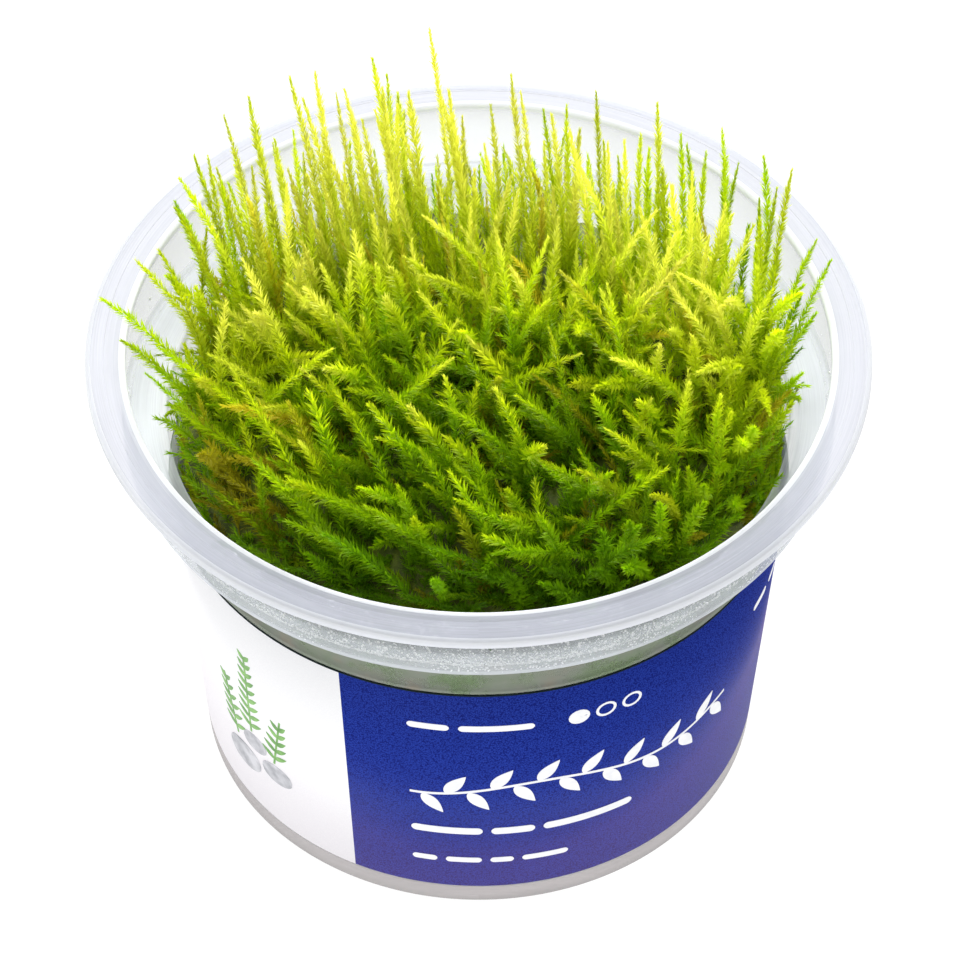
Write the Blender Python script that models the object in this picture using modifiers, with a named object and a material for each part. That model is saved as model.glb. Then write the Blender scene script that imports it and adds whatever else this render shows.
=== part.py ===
"""Tissue-culture spiky moss in its cup: a clear plastic cup with a snap rim, a printed wrap label round
its wall, a disc of nutrient gel on its floor, and the cushion of moss that stands out over the rim."""

import math
import random

import bmesh
import bpy
from mathutils import Vector

MM = 0.001

# Cup: a turned wall, narrow below and stepped out to a collar under a flat snap rim.
RIM_RADIUS = 47.5 * MM
RIM_TOP = 63.7 * MM
RIM_MOUTH_RADIUS = 42.5 * MM
RIM_THICKNESS = 0.8 * MM
RIM_SKIRT_DROP = 1.2 * MM
RIM_SKIRT_WIDTH = 0.9 * MM
RIM_STEP_RADIUS = 45.2 * MM
RIM_STEP_HEIGHT = 0.25 * MM
COLLAR_RADIUS = 43.45 * MM
COLLAR_WALL = 0.9 * MM
COLLAR_DRAFT = 0.1 * MM
LEDGE_HEIGHT = 53.0 * MM
WALL = 1.05 * MM
WALL_RADIUS_LOW = 35.44 * MM
WALL_RADIUS_HIGH = 38.34 * MM
FOOT_INNER_RADIUS = 29.5 * MM
FOOT_RECESS = 0.7 * MM
FLOOR_TOP = 1.6 * MM
CUP_STEPS = 60
CORNER = 0.6 * MM
CORNER_STEPS = 2
CORNER_ROOM = 0.45

# Label: a thin printed wrap that sits flush in a shallow panel of the wall and meets at the back.
LABEL_LOW = 3.44 * MM
LABEL_HIGH = 43.4 * MM
LABEL_THICKNESS = 0.15 * MM
LABEL_SEAM_DEGREES = 0.8

# Gel: a disc of set nutrient agar on the floor.
GEL_TOP = 8.0 * MM
GEL_MENISCUS = 0.5 * MM
GEL_FLAT_SHARE = 0.8
GEL_STEPS = 40

# Moss: a dense cushion with its longest shoots standing out of it. The crown is drawn as shares of the
# radius with the drop below its top, and its slopes are height for each unit towards the back or front.
MOSS_LOW = 9.0 * MM
MOSS_CLEARANCE = 0.7 * MM
MOSS_LEDGE_CLEARANCE = 1.2 * MM
MOSS_COLLAR_RADIUS = 38.8 * MM
MOSS_COLLAR_DRAFT = 0.5 * MM
MOSS_SHOULDER = 58.5 * MM
MOSS_CROWN = 62.0 * MM
MOSS_CROWN_DROPS = ((0.35, 0.0), (0.70, 0.6 * MM), (0.90, 1.8 * MM))
MOSS_FOOT_CORNER = 2.0 * MM
MOSS_BACK_RISE = 0.03
MOSS_FRONT_FALL = 0.05
MOSS_LUMP = 0.7 * MM
MOSS_LUMP_WIDTHS = (4.1 * MM, 3.7 * MM, 9.0 * MM)
MOSS_STEPS = 24

# Locks: tapered bundles of shoots in leafy tiers, swept to the left in front and splayed at the edge.
TALL_LOCK_RADIUS = 2.5 * MM
SHORT_LOCK_RADIUS = 3.3 * MM
LOCK_TIP_RADIUS = 0.25 * MM
LOCK_ROOT_DEPTH = 5.0 * MM
LOCK_POINTS = 6
LOCK_TIER = 0.78
LOCK_TAPER = 0.48
LOCK_BOW = 0.16
LOCK_EDGE_MARGIN = 1.5
LOCK_SWEEP = (-0.45, 0.15, 0.0)
LOCK_SPLAY = 0.55
LOCK_UNEVEN = 0.08
SEED = 11

# Gap kept between touching pieces.
GAP = 0.3 * MM

# Tips of the long shoots round the back and sides, as x, y, z in millimetres.
TALL_TIPS = (
    (-45.0, 0, 71.5), (-44.0, -4, 68.5), (-41.0, 4, 74.0), (-36.5, 10, 77.0), (-36.0, 14, 78.0),
    (-34.5, 19, 77.0), (-31.0, 24, 79.0), (-28.0, 26, 80.0), (-23.0, 28, 81.5), (-20.0, 30, 80.5),
    (-17.5, 30, 77.0), (-13.0, 32, 81.0), (-10.0, 30, 75.0), (-6.0, 33, 85.0), (-2.0, 28, 75.0),
    (4.0, 34, 76.5), (9.0, 30, 73.5), (14.5, 32, 75.5), (18.0, 28, 71.0), (22.0, 30, 75.5),
    (25.0, 29, 71.0), (30.0, 28, 73.0), (35.0, 24, 72.0), (38.0, 18, 75.5), (41.0, 12, 69.5),
    (42.5, 8, 70.0), (40.5, 1, 68.0), (38.5, -8, 67.0),
)

# Tips of the shoots that stand clear over the middle and the front.
SHORT_TIPS = (
    (4, 3, 73.5), (-1, -8, 72.5), (-4, -13, 71.5), (2, -14.5, 71), (16, -10.5, 72), (-8, -17, 70.5),
    (7.5, -22.5, 69.5), (-7.5, -31, 66.5), (1, -33.5, 66), (17.5, -31.5, 66.5), (17, -37, 64.5),
    (-26.5, -4, 73), (-20.5, 0, 73), (-11, -1.5, 73), (-18, -11.5, 71.5), (-22, -31.5, 66.5),
    (-13, -30, 67.5), (-22, -27, 68.5),
)

# Fill: rings of locks between those, as ring radius and count, with the height of the tips over the
# axis and how it falls to the front and rises to the back.
FILL_RINGS = ((9, 5), (18, 9), (27, 13), (35, 15))
FILL_SPACING = 4.6
FILL_HEIGHT = 73.0
FILL_FRONT_FALL = 0.2
FILL_BACK_RISE = 0.13
FILL_UNEVEN = 1.0


def clear_scene():
    for obj in list(bpy.data.objects):
        bpy.data.objects.remove(obj, do_unlink=True)


def collection(name):
    made = bpy.data.collections.new(name)
    bpy.context.scene.collection.children.link(made)
    return made


def material(name, color, roughness, metallic=0.0, transmission=0.0):
    made = bpy.data.materials.new(name)
    made.use_nodes = True
    shader = made.node_tree.nodes["Principled BSDF"]
    shader.inputs["Base Color"].default_value = (*color, 1.0)
    shader.inputs["Roughness"].default_value = roughness
    shader.inputs["Metallic"].default_value = metallic
    shader.inputs["Transmission Weight"].default_value = transmission
    return made


def wall_radius(height):
    """Outer radius of the tapered wall at this height."""
    slope = (WALL_RADIUS_HIGH - WALL_RADIUS_LOW) / (LABEL_HIGH - LABEL_LOW)
    return WALL_RADIUS_LOW + (height - LABEL_LOW) * slope


def rounded(before, corner, after, radius):
    """Points of the arc that rounds this corner of a profile."""
    corner = Vector(corner)
    to_before = (Vector(before) - corner).normalized()
    to_after = (Vector(after) - corner).normalized()
    half = to_before.angle(to_after) / 2
    room = CORNER_ROOM * min((Vector(before) - corner).length, (Vector(after) - corner).length)
    reach = min(radius / math.tan(half), room)
    start = corner + to_before * reach
    end = corner + to_after * reach
    points = []
    for step in range(CORNER_STEPS + 1):
        t = step / CORNER_STEPS
        points.append(tuple(start * (1 - t) ** 2 + corner * 2 * t * (1 - t) + end * t ** 2))
    return points


def turned(name, profile, steps, angle=math.tau):
    """Object whose (radius, height) profile is turned about Z."""
    mesh = bpy.data.meshes.new(name)
    points = [(radius, 0.0, height) for radius, height in profile]
    mesh.from_pydata(points, [(i, i + 1) for i in range(len(points) - 1)], [])
    obj = bpy.data.objects.new(name, mesh)
    screw = obj.modifiers.new("Turn", "SCREW")
    screw.angle = angle
    screw.steps = steps
    screw.render_steps = steps
    screw.use_merge_vertices = True
    screw.merge_threshold = 0.00001
    screw.use_smooth_shade = True
    return obj


def cup_profile():
    """From the middle of the floor up the inside, over the rim, down the outside and under the foot."""
    inner_low = wall_radius(FLOOR_TOP) - WALL
    ledge_top = LEDGE_HEIGHT + COLLAR_WALL
    inner_high = wall_radius(ledge_top) - WALL
    collar_inside = COLLAR_RADIUS - COLLAR_WALL
    under_rim = RIM_TOP - RIM_THICKNESS
    panel = LABEL_THICKNESS + GAP
    outline = [
        (inner_low, FLOOR_TOP, 2 * CORNER),
        (inner_high, ledge_top, 0),
        (collar_inside, ledge_top, 0),
        (RIM_MOUTH_RADIUS + COLLAR_DRAFT, RIM_TOP - RIM_STEP_HEIGHT, CORNER),
        (RIM_STEP_RADIUS, RIM_TOP - RIM_STEP_HEIGHT, 0),
        (RIM_STEP_RADIUS + RIM_STEP_HEIGHT, RIM_TOP, 0),
        (RIM_RADIUS, RIM_TOP, CORNER),
        (RIM_RADIUS, RIM_TOP - RIM_SKIRT_DROP, 0),
        (RIM_RADIUS - RIM_SKIRT_WIDTH, RIM_TOP - RIM_SKIRT_DROP, 0),
        (RIM_RADIUS - RIM_SKIRT_WIDTH, under_rim, 0),
        (COLLAR_RADIUS + COLLAR_DRAFT, under_rim, 0),
        (COLLAR_RADIUS, LEDGE_HEIGHT, 0),
        (wall_radius(LEDGE_HEIGHT), LEDGE_HEIGHT, 0),
        (wall_radius(LABEL_HIGH + GAP), LABEL_HIGH + GAP, 0),
        (wall_radius(LABEL_HIGH + GAP) - panel, LABEL_HIGH + GAP, 0),
        (wall_radius(LABEL_LOW - GAP) - panel, LABEL_LOW - GAP, 0),
        (wall_radius(LABEL_LOW - GAP), LABEL_LOW - GAP, 0),
        (wall_radius(0.0), 0.0, 2 * CORNER),
        (FOOT_INNER_RADIUS, 0.0, 0),
        (FOOT_INNER_RADIUS - FOOT_RECESS, FOOT_RECESS, 0),
    ]
    points = [(0.0, FLOOR_TOP)]
    for index, (radius, height, rounding) in enumerate(outline):
        if rounding == 0:
            points.append((radius, height))
            continue
        before = points[0] if index == 0 else outline[index - 1][:2]
        points += rounded(before, (radius, height), outline[index + 1][:2], rounding)
    points.append((0.0, FOOT_RECESS))
    return points


def build_cup(parts):
    cup = turned("cup", cup_profile(), CUP_STEPS)
    cup.data.materials.append(material("clear_polypropylene", (0.86, 0.88, 0.89), 0.3, transmission=0.85))
    parts.objects.link(cup)
    return cup


def build_label(parts):
    """An open strip of a cone, made solid inwards; its seam faces the back."""
    high = (wall_radius(LABEL_HIGH), LABEL_HIGH)
    low = (wall_radius(LABEL_LOW), LABEL_LOW)
    seam = math.radians(LABEL_SEAM_DEGREES)
    label = turned("label", [high, low], CUP_STEPS, math.tau - seam)
    label.rotation_euler.z = math.pi / 2 + seam / 2
    solid = label.modifiers.new("Thickness", "SOLIDIFY")
    solid.thickness = LABEL_THICKNESS
    solid.offset = -1.0
    label.data.materials.append(material("printed_label", (0.04, 0.06, 0.34), 0.35))
    parts.objects.link(label)
    return label


def build_gel(parts):
    inset = WALL + GAP
    base = FLOOR_TOP + GAP
    rim = wall_radius(GEL_TOP) - inset
    profile = [
        (0.0, GEL_TOP - GEL_MENISCUS),
        (rim * GEL_FLAT_SHARE, GEL_TOP - GEL_MENISCUS),
        (rim, GEL_TOP),
        (wall_radius(base) - inset, base + CORNER),
        (wall_radius(base) - inset - 2 * CORNER, base),
        (0.0, base),
    ]
    gel = turned("nutrient_gel", profile, GEL_STEPS)
    gel.data.materials.append(material("agar", (0.82, 0.76, 0.68), 0.25, transmission=0.4))
    parts.objects.link(gel)
    return gel


def cushion():
    """The dense part of the moss: it fills the cup above the gel up to the rim, higher at the back."""
    inset = WALL + MOSS_CLEARANCE
    low_radius = wall_radius(MOSS_LOW) - inset
    neck = LEDGE_HEIGHT - CORNER
    profile = [(0.0, MOSS_CROWN)]
    profile += [(share * MOSS_COLLAR_RADIUS, MOSS_CROWN - drop) for share, drop in MOSS_CROWN_DROPS]
    profile += [
        (MOSS_COLLAR_RADIUS, MOSS_SHOULDER),
        (MOSS_COLLAR_RADIUS - MOSS_COLLAR_DRAFT, LEDGE_HEIGHT + COLLAR_WALL + MOSS_LEDGE_CLEARANCE),
        (wall_radius(neck) - inset, neck),
        (low_radius, MOSS_LOW + MOSS_FOOT_CORNER),
        (low_radius - MOSS_FOOT_CORNER, MOSS_LOW),
        (0.0, MOSS_LOW),
    ]
    obj = turned("moss", profile, MOSS_STEPS)
    bpy.context.scene.collection.objects.link(obj)
    obj = as_mesh(obj)
    across, deep, skew = MOSS_LUMP_WIDTHS
    for vertex in obj.data.vertices:
        x, y, z = vertex.co
        if z > MOSS_SHOULDER - CORNER:
            lump = math.sin(x / across) * math.cos(y / deep + x / skew)
            slope = MOSS_BACK_RISE if y > 0 else MOSS_FRONT_FALL
            vertex.co.z += slope * y + MOSS_LUMP * lump
    return obj


def as_mesh(obj):
    """Replaces the object by a plain closed mesh of what it evaluates to."""
    graph = bpy.context.evaluated_depsgraph_get()
    mesh = bpy.data.meshes.new_from_object(obj.evaluated_get(graph))
    name, place = obj.name, obj.matrix_world.copy()
    bpy.data.objects.remove(obj, do_unlink=True)
    made = bpy.data.objects.new(name, mesh)
    made.matrix_world = place
    bm = bmesh.new()
    bm.from_mesh(mesh)
    bmesh.ops.remove_doubles(bm, verts=bm.verts, dist=0.000005)
    bmesh.ops.recalc_face_normals(bm, faces=bm.faces)
    bm.to_mesh(mesh)
    bm.free()
    bpy.context.scene.collection.objects.link(made)
    return made


def lean(tip, rng):
    """Sideways run of a shoot from its root to its tip: outwards at the edge, to the left in front."""
    out = Vector((tip.x, tip.y, 0.0)) / RIM_RADIUS
    swept = Vector(LOCK_SWEEP) * (1 - max(0.0, out.y)) * (1 - out.x ** 2)
    splay = out * LOCK_SPLAY * out.length
    uneven = [rng.uniform(-LOCK_UNEVEN, LOCK_UNEVEN) for _ in range(2)]
    return swept + splay + Vector((*uneven, 0.0))


def lock(tip, radius, rng):
    """A tapered lock of shoots in leafy tiers, bowed up to its tip out of the cushion."""
    tip = Vector(tip)
    rise = tip.z - MOSS_CROWN + LOCK_ROOT_DEPTH
    root = tip - Vector((0.0, 0.0, rise)) - lean(tip, rng) * rise
    most = MOSS_COLLAR_RADIUS - LOCK_EDGE_MARGIN * radius
    flat = Vector((root.x, root.y, 0.0))
    if flat.length > most:
        flat *= most / flat.length
        root = Vector((flat.x, flat.y, root.z))
    bend = (root + tip) / 2 + Vector((0.0, 0.0, LOCK_BOW * rise))
    data = bpy.data.curves.new("lock", "CURVE")
    data.dimensions = "3D"
    data.bevel_depth = radius
    data.bevel_resolution = 1
    data.use_fill_caps = True
    spline = data.splines.new("POLY")
    spline.points.add(LOCK_POINTS - 1)
    for index, point in enumerate(spline.points):
        t = index / (LOCK_POINTS - 1)
        place = root * (1 - t) ** 2 + bend * 2 * t * (1 - t) + tip * t ** 2
        point.co = (*place, 1.0)
        taper = (1 - t) ** LOCK_TAPER
        tier = LOCK_TIER if index % 2 else 1.0
        point.radius = max(taper * tier, LOCK_TIP_RADIUS / radius)
    obj = bpy.data.objects.new("lock", data)
    bpy.context.scene.collection.objects.link(obj)
    return as_mesh(obj)


def join(base, other):
    """Fuses another closed mesh into this one."""
    fuse = base.modifiers.new("Fuse", "BOOLEAN")
    fuse.operation = "UNION"
    fuse.solver = "EXACT"
    fuse.object = other
    graph = bpy.context.evaluated_depsgraph_get()
    mesh = bpy.data.meshes.new_from_object(base.evaluated_get(graph))
    base.modifiers.clear()
    base.data = mesh
    bpy.data.objects.remove(other, do_unlink=True)


def fill_tips(rng):
    """Tips of the shoots that stand in rings between the named ones, clear of them."""
    named = [Vector(tip) for tip in TALL_TIPS + SHORT_TIPS]
    tips = []
    for ring, (radius, count) in enumerate(FILL_RINGS):
        for index in range(count):
            angle = math.tau * (index + 0.5 * ring) / count
            tip = Vector((radius * math.cos(angle), radius * math.sin(angle), 0.0))
            slope = FILL_BACK_RISE if tip.y > 0 else FILL_FRONT_FALL
            tip.z = FILL_HEIGHT + slope * tip.y + rng.uniform(-FILL_UNEVEN, FILL_UNEVEN)
            if min((tip - other).xy.length for other in named) > FILL_SPACING:
                tips.append(tuple(tip))
    return tips


def build_moss(parts):
    rng = random.Random(SEED)
    moss = cushion()
    for tip in [*SHORT_TIPS, *fill_tips(rng)]:
        join(moss, lock(Vector(tip) * MM, SHORT_LOCK_RADIUS, rng))
    for tip in TALL_TIPS:
        join(moss, lock(Vector(tip) * MM, TALL_LOCK_RADIUS, rng))
    bpy.context.scene.collection.objects.unlink(moss)
    moss.data.materials.clear()
    moss.data.materials.append(material("moss_green", (0.16, 0.30, 0.02), 0.6))
    parts.objects.link(moss)
    return moss


clear_scene()
parts = collection("tissue_culture_spiky_moss")
build_cup(parts)
build_label(parts)
build_gel(parts)
build_moss(parts)
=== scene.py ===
"""Looks of the tissue-culture spiky moss: cup, condensation, nutrient gel, printed label and moss,
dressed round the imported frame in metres."""

import math
import random

import bmesh
import bpy
import numpy as np
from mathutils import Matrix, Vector


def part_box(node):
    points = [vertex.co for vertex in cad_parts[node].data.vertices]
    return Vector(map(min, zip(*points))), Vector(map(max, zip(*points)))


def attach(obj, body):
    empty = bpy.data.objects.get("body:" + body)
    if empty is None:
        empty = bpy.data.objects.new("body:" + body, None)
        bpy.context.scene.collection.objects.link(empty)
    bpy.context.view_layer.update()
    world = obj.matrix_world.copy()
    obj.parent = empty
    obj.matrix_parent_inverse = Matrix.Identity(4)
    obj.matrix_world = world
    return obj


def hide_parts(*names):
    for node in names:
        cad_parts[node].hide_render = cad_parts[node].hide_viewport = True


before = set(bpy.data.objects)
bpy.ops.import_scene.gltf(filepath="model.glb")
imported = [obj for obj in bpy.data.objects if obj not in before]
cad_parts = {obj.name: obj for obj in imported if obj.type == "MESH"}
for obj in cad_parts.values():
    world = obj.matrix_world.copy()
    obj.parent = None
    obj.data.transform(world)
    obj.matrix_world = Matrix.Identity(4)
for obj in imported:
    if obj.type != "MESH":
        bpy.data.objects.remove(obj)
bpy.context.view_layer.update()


# Cup. One moulded piece of clear, slightly milky polypropylene: tapered wall, ledge, upright collar,
# flat snap rim with a faint ring and a thin turned-down skirt. Drawn ring by ring from the middle of the
# floor up the inside, over the rim and down the outside.
MM = 0.001
CUP_SIDES = 192
CUP_SMOOTH_ANGLE = 50
RIM_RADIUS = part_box("cup")[1].x
RIM_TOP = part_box("cup")[1].z
RIM_MOUTH_RADIUS = 42.6 * MM
RIM_THICKNESS = 0.8 * MM
RIM_SKIRT_DROP = 1.2 * MM
RIM_SKIRT_WIDTH = 0.9 * MM
RIM_STEP_RADIUS = 45.2 * MM
RIM_STEP_HEIGHT = 0.08 * MM
COLLAR_RADIUS = 43.45 * MM
COLLAR_WALL = 0.9 * MM
COLLAR_DRAFT = 0.1 * MM
LEDGE_HEIGHT = 53.0 * MM
WALL = 1.05 * MM
WALL_RADIUS_LOW = 35.44 * MM
WALL_TAPER = 2.9 / 39.96
LABEL_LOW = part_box("label")[0].z
LABEL_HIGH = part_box("label")[1].z
LABEL_PANEL_DEPTH = 0.45 * MM
PANEL_EDGE = 0.3 * MM
FLOOR_TOP = 1.6 * MM
FOOT_INNER_RADIUS = 29.5 * MM
FOOT_RECESS = 0.7 * MM
GATE_MARK_RADIUS = 2.5 * MM
# How far the corners of the outline are rounded, from the crispest to the one round the floor.
CRISP = 0.1 * MM
SLIGHT = 0.2 * MM
NECK = 0.4 * MM
FULL = 0.5 * MM
SOFT = 0.6 * MM
FLOOR_ROUND = 1.2 * MM
CORNER_STEPS = 4
CORNER_ROOM = 0.45


def wall_radius(height):
    """Outer radius of the tapered wall at this height."""
    return WALL_RADIUS_LOW + (height - LABEL_LOW) * WALL_TAPER


def rounded(before, corner, after, radius):
    """Points of the arc that rounds one corner of the cup's outline."""
    corner = Vector(corner)
    to_before = (Vector(before) - corner).normalized()
    to_after = (Vector(after) - corner).normalized()
    half = to_before.angle(to_after) / 2
    room = CORNER_ROOM * min((Vector(before) - corner).length, (Vector(after) - corner).length)
    reach = min(radius / math.tan(half), room)
    start = corner + to_before * reach
    end = corner + to_after * reach
    points = []
    for step in range(CORNER_STEPS + 1):
        t = step / CORNER_STEPS
        points.append(tuple(start * (1 - t) ** 2 + corner * 2 * t * (1 - t) + end * t ** 2))
    return points


def cup_outline():
    """Rings of the cup as (radius, height), from the floor inside to the recess under the foot."""
    ledge_top = LEDGE_HEIGHT + COLLAR_WALL
    under_rim = RIM_TOP - RIM_THICKNESS
    step_floor = RIM_TOP - RIM_STEP_HEIGHT
    skirt_foot = RIM_TOP - RIM_SKIRT_DROP
    panel_top = LABEL_HIGH + PANEL_EDGE
    panel_foot = LABEL_LOW - PANEL_EDGE
    corners = [
        (wall_radius(FLOOR_TOP) - WALL, FLOOR_TOP, FLOOR_ROUND),
        (wall_radius(ledge_top) - WALL, ledge_top, FULL),
        (COLLAR_RADIUS - COLLAR_WALL, ledge_top, FULL),
        (RIM_MOUTH_RADIUS, step_floor, SOFT),
        (RIM_STEP_RADIUS, step_floor, CRISP),
        (RIM_STEP_RADIUS + RIM_STEP_HEIGHT, RIM_TOP, CRISP),
        (RIM_RADIUS, RIM_TOP, FULL),
        (RIM_RADIUS, skirt_foot, SLIGHT),
        (RIM_RADIUS - RIM_SKIRT_WIDTH, skirt_foot, SLIGHT),
        (RIM_RADIUS - RIM_SKIRT_WIDTH, under_rim, SLIGHT),
        (COLLAR_RADIUS + COLLAR_DRAFT, under_rim, NECK),
        (COLLAR_RADIUS, LEDGE_HEIGHT, FULL),
        (wall_radius(LEDGE_HEIGHT), LEDGE_HEIGHT, FULL),
        (wall_radius(panel_top), panel_top, CRISP),
        (wall_radius(panel_top) - LABEL_PANEL_DEPTH, panel_top, CRISP),
        (wall_radius(panel_foot) - LABEL_PANEL_DEPTH, panel_foot, CRISP),
        (wall_radius(panel_foot), panel_foot, CRISP),
        (wall_radius(0.0), 0.0, SOFT),
        (FOOT_INNER_RADIUS, 0.0, SLIGHT),
        (FOOT_INNER_RADIUS - FOOT_RECESS, FOOT_RECESS, SLIGHT),
    ]
    middle_inside = (GATE_MARK_RADIUS, FLOOR_TOP, 0.0)
    middle_under = (GATE_MARK_RADIUS, FOOT_RECESS, 0.0)
    path = [middle_inside, *corners, middle_under]
    rings = []
    for before, (radius, height, rounding), after in zip(path, corners, path[2:]):
        rings += rounded(before[:2], (radius, height), after[:2], rounding)
    return rings


def new_edit_circle(name, radius, height, sides):
    """A filled circle in edit mode with only its rim selected."""
    bpy.ops.object.select_all(action="DESELECT")
    bpy.ops.mesh.primitive_circle_add(
        vertices=sides, radius=radius, fill_type="TRIFAN", location=(0, 0, height))
    piece = bpy.context.object
    piece.name = name
    piece.data.name = name
    bpy.ops.object.mode_set(mode="EDIT")
    bpy.ops.mesh.region_to_loop()
    return piece


def draw_rings(rings, last):
    """Extrudes the selected rim from ring to ring."""
    for radius, height in rings:
        bpy.ops.mesh.extrude_region_move(TRANSFORM_OT_translate={"value": (0, 0, height - last[1])})
        ratio = radius / last[0]
        bpy.ops.transform.resize(value=(ratio, ratio, 1), center_override=(0, 0, height))
        last = (radius, height)
    return last


def finish_mesh(smooth_angle=40):
    """Leaves edit mode with the faces outwards and the place in the mesh."""
    bpy.ops.mesh.select_all(action="SELECT")
    bpy.ops.mesh.normals_make_consistent(inside=False)
    bpy.ops.object.mode_set(mode="OBJECT")
    bpy.ops.object.transform_apply(location=True, rotation=True, scale=True)
    bpy.ops.object.shade_smooth_by_angle(angle=math.radians(smooth_angle))


def new_material(name):
    """A material with its Principled shader, ready for more nodes."""
    made = bpy.data.materials.new(name)
    made.use_nodes = True
    return made, made.node_tree.nodes, made.node_tree.links, made.node_tree.nodes["Principled BSDF"]


def texture_group(name, texture_type, result, settings):
    """A shader node group of one texture over the piece's own coordinates, with its settings as inputs."""
    group = bpy.data.node_groups.new(name, "ShaderNodeTree")
    group.interface.new_socket("Value", in_out="OUTPUT", socket_type="NodeSocketFloat")
    for setting in settings:
        group.interface.new_socket(setting, in_out="INPUT", socket_type="NodeSocketFloat")
    given = group.nodes.new("NodeGroupInput")
    put_out = group.nodes.new("NodeGroupOutput")
    coords = group.nodes.new("ShaderNodeTexCoord")
    texture = group.nodes.new(texture_type)
    group.links.new(coords.outputs["Object"], texture.inputs["Vector"])
    for setting in settings:
        group.links.new(given.outputs[setting], texture.inputs[setting])
    group.links.new(texture.outputs[result], put_out.inputs["Value"])
    return group


MOTTLE = texture_group("mottle", "ShaderNodeTexNoise", "Fac", ("Scale", "Detail", "Roughness"))
CELLS = texture_group("small_cells", "ShaderNodeTexVoronoi", "Distance", ("Scale",))


def place_group(nodes, group, values):
    """An effect group placed in a material with its own values."""
    made = nodes.new("ShaderNodeGroup")
    made.node_tree = group
    for setting, value in values.items():
        made.inputs[setting].default_value = value
    return made.outputs["Value"]


def mottle(nodes, scale, detail=3, roughness=0.5):
    """Soft uneven cloud over the piece, from 0 to 1."""
    return place_group(nodes, MOTTLE, {"Scale": scale, "Detail": detail, "Roughness": roughness})


def cells(nodes, scale):
    """Distance from the middles of small cells over the piece."""
    return place_group(nodes, CELLS, {"Scale": scale})


def give(links, socket, value):
    """Sets a socket to a number or a colour, or links it to another socket."""
    if isinstance(value, (int, float)):
        socket.default_value = value
    elif isinstance(value, tuple):
        socket.default_value = (*value, 1) if len(socket.default_value) == 4 else value
    else:
        links.new(value, socket)


def ramp(nodes, links, value, stops):
    """Colours at places along a value from 0 to 1."""
    made = nodes.new("ShaderNodeValToRGB")
    while len(made.color_ramp.elements) < len(stops):
        made.color_ramp.elements.new(0.5)
    for element, (position, color) in zip(made.color_ramp.elements, stops):
        element.position = position
        element.color = (*color, 1) if isinstance(color, tuple) else (color, color, color, 1)
    links.new(value, made.inputs["Fac"])
    return made.outputs["Color"]


def math_node(nodes, links, operation, *values):
    """One sum on values, each a socket or a number."""
    made = nodes.new("ShaderNodeMath")
    made.operation = operation
    for socket, value in zip(made.inputs, values):
        give(links, socket, value)
    return made.outputs[0]


def blend(nodes, links, factor, first, second):
    """Colour between two, each a socket or a colour."""
    made = nodes.new("ShaderNodeMix")
    made.data_type = "RGBA"
    links.new(factor, made.inputs["Factor"])
    give(links, made.inputs["A"], first)
    give(links, made.inputs["B"], second)
    return made.outputs["Result"]


def scaled(nodes, links, color, factor):
    """A colour made lighter or darker by a value."""
    made = nodes.new("ShaderNodeVectorMath")
    made.operation = "SCALE"
    give(links, made.inputs[0], color)
    links.new(factor, made.inputs["Scale"])
    return made.outputs[0]


def span(nodes, links, value, from_range, to_range):
    """A value taken from one range to another."""
    made = nodes.new("ShaderNodeMapRange")
    made.inputs["From Min"].default_value, made.inputs["From Max"].default_value = from_range
    made.inputs["To Min"].default_value, made.inputs["To Max"].default_value = to_range
    links.new(value, made.inputs["Value"])
    return made.outputs["Result"]


def place(nodes, links):
    """X, Y and Z of the object's own coordinates."""
    coords = nodes.new("ShaderNodeTexCoord")
    split = nodes.new("ShaderNodeSeparateXYZ")
    links.new(coords.outputs["Object"], split.inputs[0])
    return [split.outputs[axis] for axis in "XYZ"]


def roughen(nodes, links, shader, height, strength, depth):
    """Bump from a height."""
    bump = nodes.new("ShaderNodeBump")
    bump.inputs["Strength"].default_value = strength
    bump.inputs["Distance"].default_value = depth
    links.new(height, bump.inputs["Height"])
    links.new(bump.outputs["Normal"], shader.inputs["Normal"])


def let_light_through(nodes, links, shader, share, color, alpha=None):
    """Mixes in a translucent share, thinned by the same alpha as the surface."""
    glow = nodes.new("ShaderNodeBsdfTranslucent")
    links.new(color, glow.inputs["Color"])
    through = glow.outputs[0]
    if alpha is not None:
        clear = nodes.new("ShaderNodeBsdfTransparent")
        veil = nodes.new("ShaderNodeMixShader")
        links.new(alpha, veil.inputs["Fac"])
        links.new(clear.outputs[0], veil.inputs[1])
        links.new(glow.outputs[0], veil.inputs[2])
        through = veil.outputs[0]
    mix = nodes.new("ShaderNodeMixShader")
    mix.inputs["Fac"].default_value = share
    links.new(shader.outputs[0], mix.inputs[1])
    links.new(through, mix.inputs[2])
    links.new(mix.outputs[0], nodes["Material Output"].inputs["Surface"])


# The plastic at each height in millimetres, from the foot over the clear band, the ledge and the fogged
# collar to the rim: how milky it is, and its colour.
CUP_HAZE = (
    (0.0, 0.50), (42.0, 0.31), (52.5, 0.31), (52.7, 0.60), (53.7, 0.60), (54.1, 0.26), (62.3, 0.26),
    (62.8, 0.40))
CUP_TINT = (
    (0.0, (0.24, 0.20, 0.175)), (1.9, (0.52, 0.45, 0.44)), (3.0, (0.52, 0.45, 0.44)),
    (42.0, (0.62, 0.67, 0.52)), (52.4, (0.62, 0.68, 0.58)), (52.7, (0.80, 0.83, 0.88)),
    (53.7, (0.80, 0.83, 0.88)), (54.1, (0.50, 0.53, 0.55)), (62.3, (0.44, 0.46, 0.49)),
    (62.8, (0.385, 0.395, 0.465)))
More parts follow.
